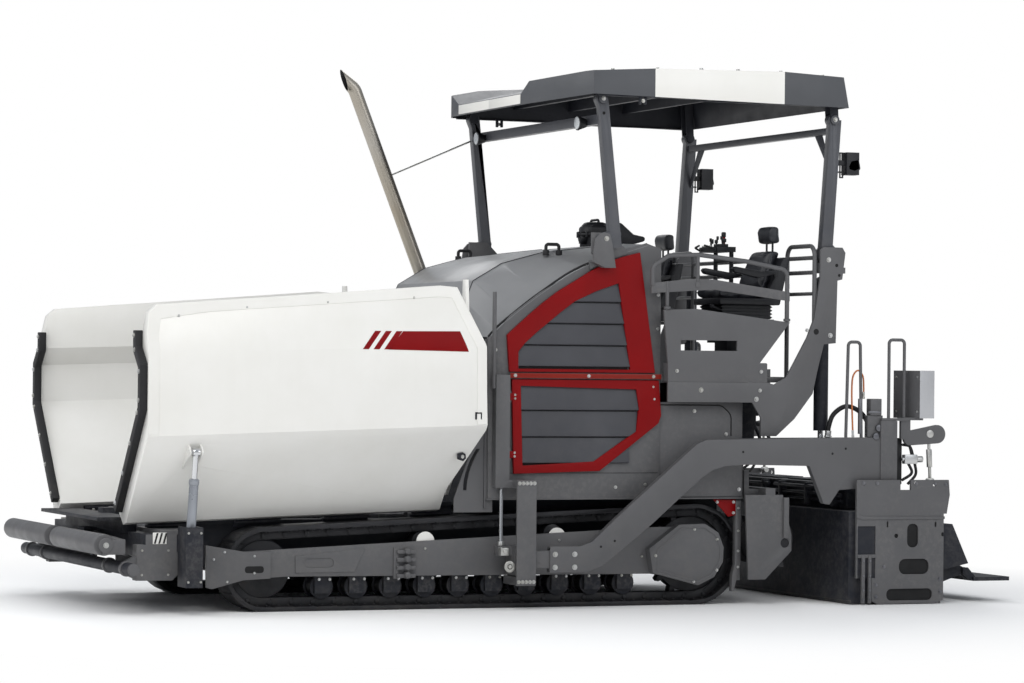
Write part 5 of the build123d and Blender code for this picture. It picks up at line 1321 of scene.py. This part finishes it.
def blownUp(piece, reach):
    # stiff sewn cover under air pressure: it crowns between its edges; a cap on the movement keeps its shape
    applyModifier(piece, "REMESH", mode="VOXEL", voxel_size=seatShape["voxel"])
    before = [vertex.co.copy() for vertex in piece.data.vertices]
    activate(piece)
    cloth = piece.modifiers.new("cover", "CLOTH")
    cloth.settings.use_pressure = True
    cloth.settings.uniform_pressure_force = seatShape["pressure"]
    cloth.settings.effector_weights.gravity = 0
    cloth.settings.tension_stiffness = 15
    cloth.settings.compression_stiffness = 15
    cloth.settings.bending_stiffness = 0.5
    cloth.settings.quality = 4
    for number in range(1, seatShape["frames"] + 1):
        bpy.context.scene.frame_set(number)
    bpy.ops.object.modifier_apply(modifier=cloth.name)
    bpy.context.scene.frame_set(1)
    for vertex, start in zip(piece.data.vertices, before):
        moved = vertex.co - start
        if moved.length > reach:
            vertex.co = start + moved.normalized() * reach
    applyModifier(piece, "SMOOTH", factor=0.5, iterations=6)
    applyModifier(piece, "SUBSURF", levels=1, render_levels=1)
    activate(piece)
    bpy.ops.object.shade_smooth()
    return piece


def shapedCushion(name, outline, low, high, inset):
    # a cushion's closed form from its side outline, with softened ends
    piece = addPlate(name, outline, (low, high), "y", inset)
    return blownUp(piece, seatShape["reach"])


def buildSeatBase(name):
    y = seatShape["y"]
    outline = [(-1.232, 2.305), (-1.222, 2.345), (-1.245, 2.358), (-1.545, 2.352), (-1.575, 2.330),
               (-1.570, 2.305)]
    return shapedCushion(name, outline, y - 0.215, y + 0.215, 0.016)


def buildSeatBack(name):
    y = seatShape["y"]
    outline = [(-1.592, 2.320), (-1.578, 2.375), (-1.622, 2.500), (-1.672, 2.640), (-1.706, 2.652),
               (-1.756, 2.650), (-1.762, 2.630), (-1.735, 2.610), (-1.655, 2.440)]
    piece = addPlate(name, outline, (y - 0.205, y + 0.205), "y", 0)
    for vertex in piece.data.vertices:
        narrow = max(0.0, min(1.0, (vertex.co.z - 2.50) / 0.15))
        vertex.co.y = y + (vertex.co.y - y) * (1 - 0.30 * narrow)
    roundEdges(piece, 0.016)
    return blownUp(piece, seatShape["reach"])


def buildHeadrest(name):
    y = seatShape["y"]
    outline = [(-1.700, 2.712), (-1.686, 2.800), (-1.706, 2.838), (-1.770, 2.836), (-1.780, 2.712)]
    return shapedCushion(name, outline, y - 0.112, y + 0.112, 0.018)


def buildPiping(name):
    y = seatShape["y"]
    lines = []
    for edge in (-0.214, 0.214):
        lines.append(addTube("piping", smoothPath([(-1.238, y + edge, 2.334), (-1.40, y + edge * 1.01, 2.342),
                                                   (-1.56, y + edge, 2.338)], 6), 0.0045, 2))
        lines.append(addTube("piping",
                             smoothPath([(-1.590, y + edge * 0.95, 2.385), (-1.632, y + edge * 0.93, 2.500),
                                         (-1.678, y + edge * 0.70, 2.636)], 6), 0.0045, 2))
    return joined(name, lines)


def buildSeatFrame(name):
    # headrest rods, armrests with their brackets, bellows, slide rails and the adjusting lever
    y = seatShape["y"]
    parts = [addRod("rod", (-1.744, y + side, 2.63), (-1.744, y + side, 2.75), 0.008, 16, 0.001)
             for side in (-0.05, 0.05)]
    for side in (-0.262, 0.262):
        parts.append(addPlate("armrest",
                              [(-1.300, 2.505), (-1.315, 2.525), (-1.55, 2.490), (-1.66, 2.505),
                               (-1.66, 2.475),
                               (-1.52, 2.440), (-1.32, 2.480)], (y + side - 0.032, y + side + 0.032), "y",
                              0.010))
        parts.append(addBox("arm_bracket", (-1.665, -1.700), (y + side - 0.02, y + side * 0.82), (2.45, 2.50),
                            0.006))
    for number in range(4):
        low = 2.135 + number * 0.026
        parts.append(addPlate("bellows",
                              [(-1.27, low), (-1.25, low + 0.013), (-1.27, low + 0.026), (-1.66, low + 0.026),
                               (-1.68, low + 0.013), (-1.66, low)], (y - 0.19, y + 0.19), "y", 0.002))
    for side in (-0.16, 0.16):
        parts.append(addBox("slide", (-1.30, -1.70), (y + side - 0.018, y + side + 0.018), (2.108, 2.134),
                            0.003))
    parts.append(addRod("lever", (-1.25, y + 0.18, 2.20), (-1.16, y + 0.23, 2.225), 0.009, 14, 0.002))
    parts.append(addRod("knob", (-1.17, y + 0.225, 2.222), (-1.145, y + 0.238, 2.229), 0.016, 18, 0.005))
    return joined(name, parts)


for label, build, paint in (("seat_base_cushion", buildSeatBase, "seatVinyl"),
                            ("seat_back_cushion", buildSeatBack, "seatVinyl"),
                            ("headrest_cushion", buildHeadrest, "seatVinyl"),
                            ("seat_piping", buildPiping, "louvreGrey"),
                            ("seat_frame", buildSeatFrame, "blackPlastic")):
    pair = bySide(label, build, "seat", paints[paint])
    for piece, side in zip(pair, sides):
        if label == "seat_back_cushion":
            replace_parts(piece, f"seat_cushion_{side}")
print("seats")

# --- console: levers, knobs, dials, screen; rail fittings; air intake dome; step and floor treads

consoleY = 0.420


def buildLevers(name):
    parts = []
    spin = random.Random(7)
    for number in range(9):
        x, y = -1.60 + 0.018 * (number % 3) + 0.03, consoleY - 0.15 + 0.036 * number
        lean = (spin.uniform(-0.02, 0.03), spin.uniform(-0.012, 0.012))
        top = (x + lean[0], y + lean[1], 2.725 + spin.uniform(0.005, 0.035))
        parts.append(addRod("stick", (x, y, 2.693), top, 0.004, 10, 0))
        parts.append(addRod("knob", (top[0], top[1], top[2] - 0.008), (top[0], top[1], top[2] + 0.020), 0.010,
                            16, 0.004))
    for edge in (-0.168, 0.168):
        parts.append(addTube("guard",
                             filletPath([(-1.475, consoleY + edge * 0.9, 2.672),
                                         (-1.430, consoleY + edge * 0.8, 2.69),
                                         (-1.425, consoleY + edge * 0.3, 2.705)], 0.02), 0.008, 3))
    parts.append(addBox("screen", (-1.58, -1.50), (consoleY + 0.05, consoleY + 0.15), (2.694, 2.716), 0.004))
    return joined(name, parts)


levers = buildLevers("console_levers")
settle(levers, "control_console", paints["blackPlastic"])
settle(joined("console_knobs",
              [addRod("dial", (-1.50, consoleY + side, 2.694), (-1.50, consoleY + side, 2.708), 0.013, 20,
                      0.003)
               for side in (-0.13, -0.09, -0.05, 0.0)]), "control_console", paints["zinc"])
settle(addRod("drive_lever_knob", (-1.60, consoleY + 0.02, 2.770), (-1.60, consoleY + 0.02, 2.812), 0.018, 24,
              0.008),
       "control_console", paints["blackPlastic"])


def buildIntake(name):
    # cyclone dome of the air intake: a lathed cover with its rim, snout and clamps
    parts = [addRod("dome", (-0.742, -0.075, 2.800), (-0.742, -0.075, 2.884), 0.130, 56, 0.028, 0.090),
             addRod("rim", (-0.742, -0.075, 2.776), (-0.742, -0.075, 2.800), 0.138, 56, 0.006),
             addRod("snout", (-0.665, -0.075, 2.760), (-0.612, -0.075, 2.752), 0.050, 36, 0.012, 0.040)]
    for number in range(5):
        turn = math.radians(-80 + 40 * number)
        x, y = -0.742 + 0.139 * math.cos(turn), -0.075 + 0.139 * math.sin(turn)
        parts.append(addRod("clip", (x, y, 2.764), (x, y, 2.808), 0.010, 12, 0.003))
    return joined(name, parts)


settle(buildIntake("intake_dome"), "chassis", paints["blackPlastic"])


def buildRailFittings(name):
    # weld collars where the rails meet their feet, and clips on the mid rail
    parts = []
    for x, z in ((-0.72, 2.194), (-1.703, 2.118)):
        parts.append(addRod("collar", (x, 1.335, z), (x, 1.335, z + 0.02), 0.026, 24, 0.003))
    for x in (-0.965, -1.70):
        parts.append(addBox("clip", (x - 0.018, x + 0.018), (1.339, 1.347), (2.36, 2.40), 0.002))
    return joined(name, parts)


def buildStepEdge(name):
    # checker-plate step on the ledge beside the side panel
    parts = [addBox("tread", (-0.735, -1.535), (1.252, 1.344), (1.800, 1.804), 0.001)]
    return joined(name, parts)


bySide("rail_fittings", buildRailFittings, "chassis", paints["greyPaint"])
bySide("step_tread", buildStepEdge, "chassis", paints["shadePaint"])


def buildFloorTread(name):
    # raised bars of the platform's checker plate, in pairs that alternate in direction
    bar = addPlate("bar", [(-0.016, 0), (0, 0.0045), (0.016, 0), (0, -0.0045)], (1.700, 1.7018), "z", 0)
    places = []
    # none where the console slides
    for column in [number for number in range(26) if not 18 <= number <= 20]:
        for row in range(26):
            turn = math.radians(45 if (column + row) % 2 else -45)
            places.append(Matrix.Translation((-0.78 - 0.043 * column, 0.03 + 0.046 * row,
                                              0)) @ Matrix.Rotation(turn, 4, "Z"))
    return spread(name, bar, places)


bySide("floor_tread", buildFloorTread, "chassis", paints["rollerSteel"])

# --- hydraulics under the platform's rear and on top of the screed


def buildValveBank(name):
    # valve blocks in a row with their hose loops
    parts = [addBox("bank", (-1.42, -1.58), (0.03, 1.06), (1.20, 1.60), 0.012)]
    for number in range(6):
        y = 0.12 + 0.16 * number
        parts.append(addBox("valve", (-1.58, -1.64), (y - 0.045, y + 0.045), (1.30, 1.50), 0.008))
        parts.append(addRod("cap", (-1.64, y, 1.43), (-1.675, y, 1.43), 0.026, 20, 0.004))
        parts.append(addTube("loop",
                             smoothPath([(-1.64, y, 1.35), (-1.72, y + 0.01, 1.32), (-1.76, y + 0.03, 1.20),
                                         (-1.70, y + 0.05, 1.11), (-1.60, y + 0.05, 1.15),
                                         (-1.56, y + 0.04, 1.22)], 6), 0.014, 2))
    return joined(name, parts)


def buildScreedRack(name):
    # cover over the screed's drives, with ribs, lids and a pipe run
    parts = [addBox("cover", (-2.30, -2.62), (0.03, 1.18), (0.695, 0.90), 0.02),
             addBox("lid", (-2.34, -2.58), (0.10, 0.55), (0.895, 0.912), 0.005),
             addBox("lid", (-2.34, -2.58), (0.62, 1.10), (0.895, 0.912), 0.005)]
    for number in range(3):
        parts.append(addRod("pipe", (-2.275 + 0.012 * number, 0.05, 0.76 + 0.05 * number),
                            (-2.275 + 0.012 * number, 1.16, 0.76 + 0.05 * number), 0.014, 16, 0.002))
    for y in (0.15, 0.60, 1.05):
        parts.append(addBox("strap", (-2.24, -2.30), (y - 0.02, y + 0.02), (0.72, 0.89), 0.004))
    return joined(name, parts)


bySide("valve_bank", buildValveBank, "chassis", paints["shadePaint"])
bySide("screed_rack", buildScreedRack, "screed", paints["shadePaint"])

# --- front: push roller ends, tube ends, bolts on the side boxes and pillars, cylinder glands and stop plates


def buildRollerEnds(name):
    parts = [addRod("hub", (3.525, 1.3005, 0.494), (3.525, 1.304, 0.494), 0.040, 28, 0.001),
             addRod("end_disc", (3.525, 1.336, 0.494), (3.525, 1.344, 0.494), 0.052, 32, 0.004)]
    return joined(name, parts)


def buildTubeEnd(name):
    return joined(name, [addRod("cap", (3.370, 1.500, 0.330), (3.370, 1.508, 0.330), 0.038, 28, 0.003),
                         addRod("collar", (3.370, 1.300, 0.330), (3.370, 1.335, 0.330), 0.055, 28, 0.005),
                         addRod("collar", (3.370, 0.860, 0.330), (3.370, 0.890, 0.330), 0.055, 28, 0.005)])


bySide("roller_ends", buildRollerEnds, "push_roller_beam", paints["greyPaint"])
bySide("tube_ends", buildTubeEnd, "chassis", paints["greyPaint"])
boltsOn("roller_end_bolt", "push_roller_beam", [(3.525, 1.344, 0.494)], (0, 1, 0), radius=0.014)
boltsOn("side_box_bolts", "chassis",
        [(3.24, 1.25, 0.45), (3.24, 1.25, 0.28), (3.05, 1.25, 0.28), (3.05, 1.25, 0.45),
         (2.86, 1.25, 0.55)], (0, 1, 0), radius=0.006)
boltsOn("pillar_bolts", "chassis", [(x, 1.488, z) for x in (2.885, 2.975) for z in (0.24, 0.58)], (0, 1, 0),
        radius=0.006)


def buildHeadPiece(name):
    # gland nut at the barrel's head, with its wiper ring
    foot, eye = Vector((2.93, 1.335, 0.30)), Vector((2.93, 1.49, 1.142))
    direction = (eye - foot).normalized()
    return joined(name,
                  [addRod("gland", foot + direction * 0.628, foot + direction * 0.662, 0.037, 32, 0.003),
                   addRod("ring", foot + direction * 0.655, foot + direction * 0.668, 0.027, 32, 0.002)])


bySide("cylinder_gland", buildHeadPiece, "wing_barrel", paints["cylinderBlue"])


def buildBeamStop(name):
    # striped stop plate beside the pillar: pale plate with dark slanting bars, no lettering
    return addPlate(name, [(3.165, 0.495), (3.065, 0.495), (3.065, 0.575), (3.165, 0.575)], (1.251, 1.256),
                    width=0.001)


def buildStopBars(name):
    bars = []
    for number in range(3):
        x = 3.158 - 0.032 * number
        bars.append(addPlate("bar", [(x, 0.498), (x - 0.014, 0.498), (x - 0.034, 0.572), (x - 0.020, 0.572)],
                             (1.256, 1.2566), width=0))
    return joined(name, bars)


bySide("stop_plate", buildBeamStop, "chassis", paints["whitePaint"])
bySide("stop_bars", buildStopBars, "chassis", paints["rubber"])

# --- engine bay: block details seen through the open doors


def buildEngineTop(name):
    parts = [addBox("rocker", (-0.42, 0.42), (-0.12, 0.12), (1.80, 1.87), 0.015)]
    for number in range(6):
        x = -0.36 + 0.145 * number
        parts.append(addRod("injector", (x, 0, 1.87), (x, 0, 1.90), 0.022, 16, 0.003))
        parts.append(addRod("port", (x, 0.40, 1.66), (x, 0.455, 1.62), 0.026, 16, 0.003))
    parts.append(addRod("manifold", (-0.42, 0.46, 1.61), (0.43, 0.46, 1.61), 0.042, 24, 0.008))
    parts.append(addRod("pulley", (0.48, 0, 1.30), (0.53, 0, 1.30), 0.14, 36, 0.006))
    parts.append(addRod("pulley", (0.48, 0.2, 1.60), (0.53, 0.2, 1.60), 0.07, 32, 0.005))
    parts.append(addBox("sump", (-0.40, 0.40), (-0.22, 0.22), (0.93, 1.01), 0.02))
    return joined(name, parts)


settle(buildEngineTop("engine_details"), "chassis", paints["castIron"])
print("inside and front")

# --- setting: pale floor, soft lamps and the camera

camera = {"place": (10.0211, 24.8733, 1.757), "yaw": 22.0, "pitch": 0.415, "roll": 0.589, "lens": 123.28}
lamps = [
    # place, aimed at, size, power, colour
    ((5.5, 9.0, 9.5), (0.3, 0, 1.6), 8.0, 620, (1, 0.99, 0.97)),
    ((-6.5, 11.0, 7.0), (-0.5, 0.5, 1.5), 7.0, 260, (0.97, 0.98, 1)),
    ((9.5, -1.0, 6.5), (1.5, 0, 1.5), 6.0, 260, (1, 1, 1)),
    ((-2.0, -7.0, 9.5), (-0.3, 0, 2.5), 7.0, 360, (1, 1, 1)),
]

bpy.ops.mesh.primitive_plane_add(size=240, location=(0, 0, 0))
floor = take("floor")
# matt white near the machine, where it takes the shadow; farther out it turns into even white
floorPaint = makeSurface("floorPaint",
                         {"base": "#ffffff", "roughness": 0.9, "spread": 0.02, "relief": [(3, 0.0005, even)]})
tree = floorPaint.node_tree
where = addNode(tree, "ShaderNodeTexCoord").outputs["Object"]
distance = addNode(tree, "ShaderNodeVectorMath", {0: where}, operation="LENGTH").outputs["Value"]
white = addNode(tree, "ShaderNodeEmission", {"Color": (1, 1, 1, 1), "Strength": 1.0})
both = addNode(tree, "ShaderNodeMixShader", {0: rangeOf(tree, distance, 3.7, 6.5),
                                             1: tree.nodes["Principled BSDF"].outputs[0],
                                             2: white.outputs[0]})
tree.links.new(both.outputs[0], tree.nodes["Material Output"].inputs["Surface"])
floor.data.materials.append(floorPaint)

yaw, pitch, roll = (math.radians(camera[key]) for key in ("yaw", "pitch", "roll"))
forward = Vector((-math.sin(yaw) * math.cos(pitch), -math.cos(yaw) * math.cos(pitch), math.sin(pitch)))
rightward = Vector((-math.cos(yaw), math.sin(yaw), 0))
upward = rightward.cross(forward)
turnedRight = rightward * math.cos(roll) + upward * math.sin(roll)
turnedUp = -rightward * math.sin(roll) + upward * math.cos(roll)
bpy.ops.object.camera_add(location=camera["place"])
viewer = take("camera")
frameOf = Matrix((turnedRight, turnedUp, -forward)).transposed().to_4x4()
viewer.matrix_world = Matrix.Translation(camera["place"]) @ frameOf
viewer.data.lens = camera["lens"]
viewer.data.sensor_width = 36
viewer.data.clip_end = 300
bpy.context.scene.camera = viewer

for place, aim, size, power, colour in lamps:
    turn = (Vector(aim) - Vector(place)).to_track_quat("-Z", "Y")
    bpy.ops.object.light_add(type="AREA", location=place, rotation=turn.to_euler())
    lamp = bpy.context.object
    lamp.data.size = size
    lamp.data.energy = power
    lamp.data.color = colour

world = bpy.data.worlds.new("studio")
bpy.context.scene.world = world
world.use_nodes = True
tree = world.node_tree
tree.nodes.clear()
rays = addNode(tree, "ShaderNodeLightPath")
seen = addNode(tree, "ShaderNodeMath",
               {0: rays.outputs["Is Camera Ray"], 1: rays.outputs["Is Transmission Ray"]},
               operation="MAXIMUM").outputs[0]
aimed = addNode(tree, "ShaderNodeTexCoord").outputs["Generated"]
height = addNode(tree, "ShaderNodeSeparateXYZ", {0: aimed}).outputs[2]
sky = mixColour(tree, rangeOf(tree, height, -0.05, 0.6), linear("#a7abb2"), linear("#e9edf2"))
colour = mixColour(tree, seen, sky, (1, 1, 1, 1))
strength = addNode(tree, "ShaderNodeMix", {0: seen, 2: 0.62, 3: 1.0}).outputs[0]
background = addNode(tree, "ShaderNodeBackground", {"Color": colour, "Strength": strength})
addNode(tree, "ShaderNodeOutputWorld", {"Surface": background.outputs[0]})

scene = bpy.context.scene
scene.view_settings.view_transform = "Standard"
print("setting")
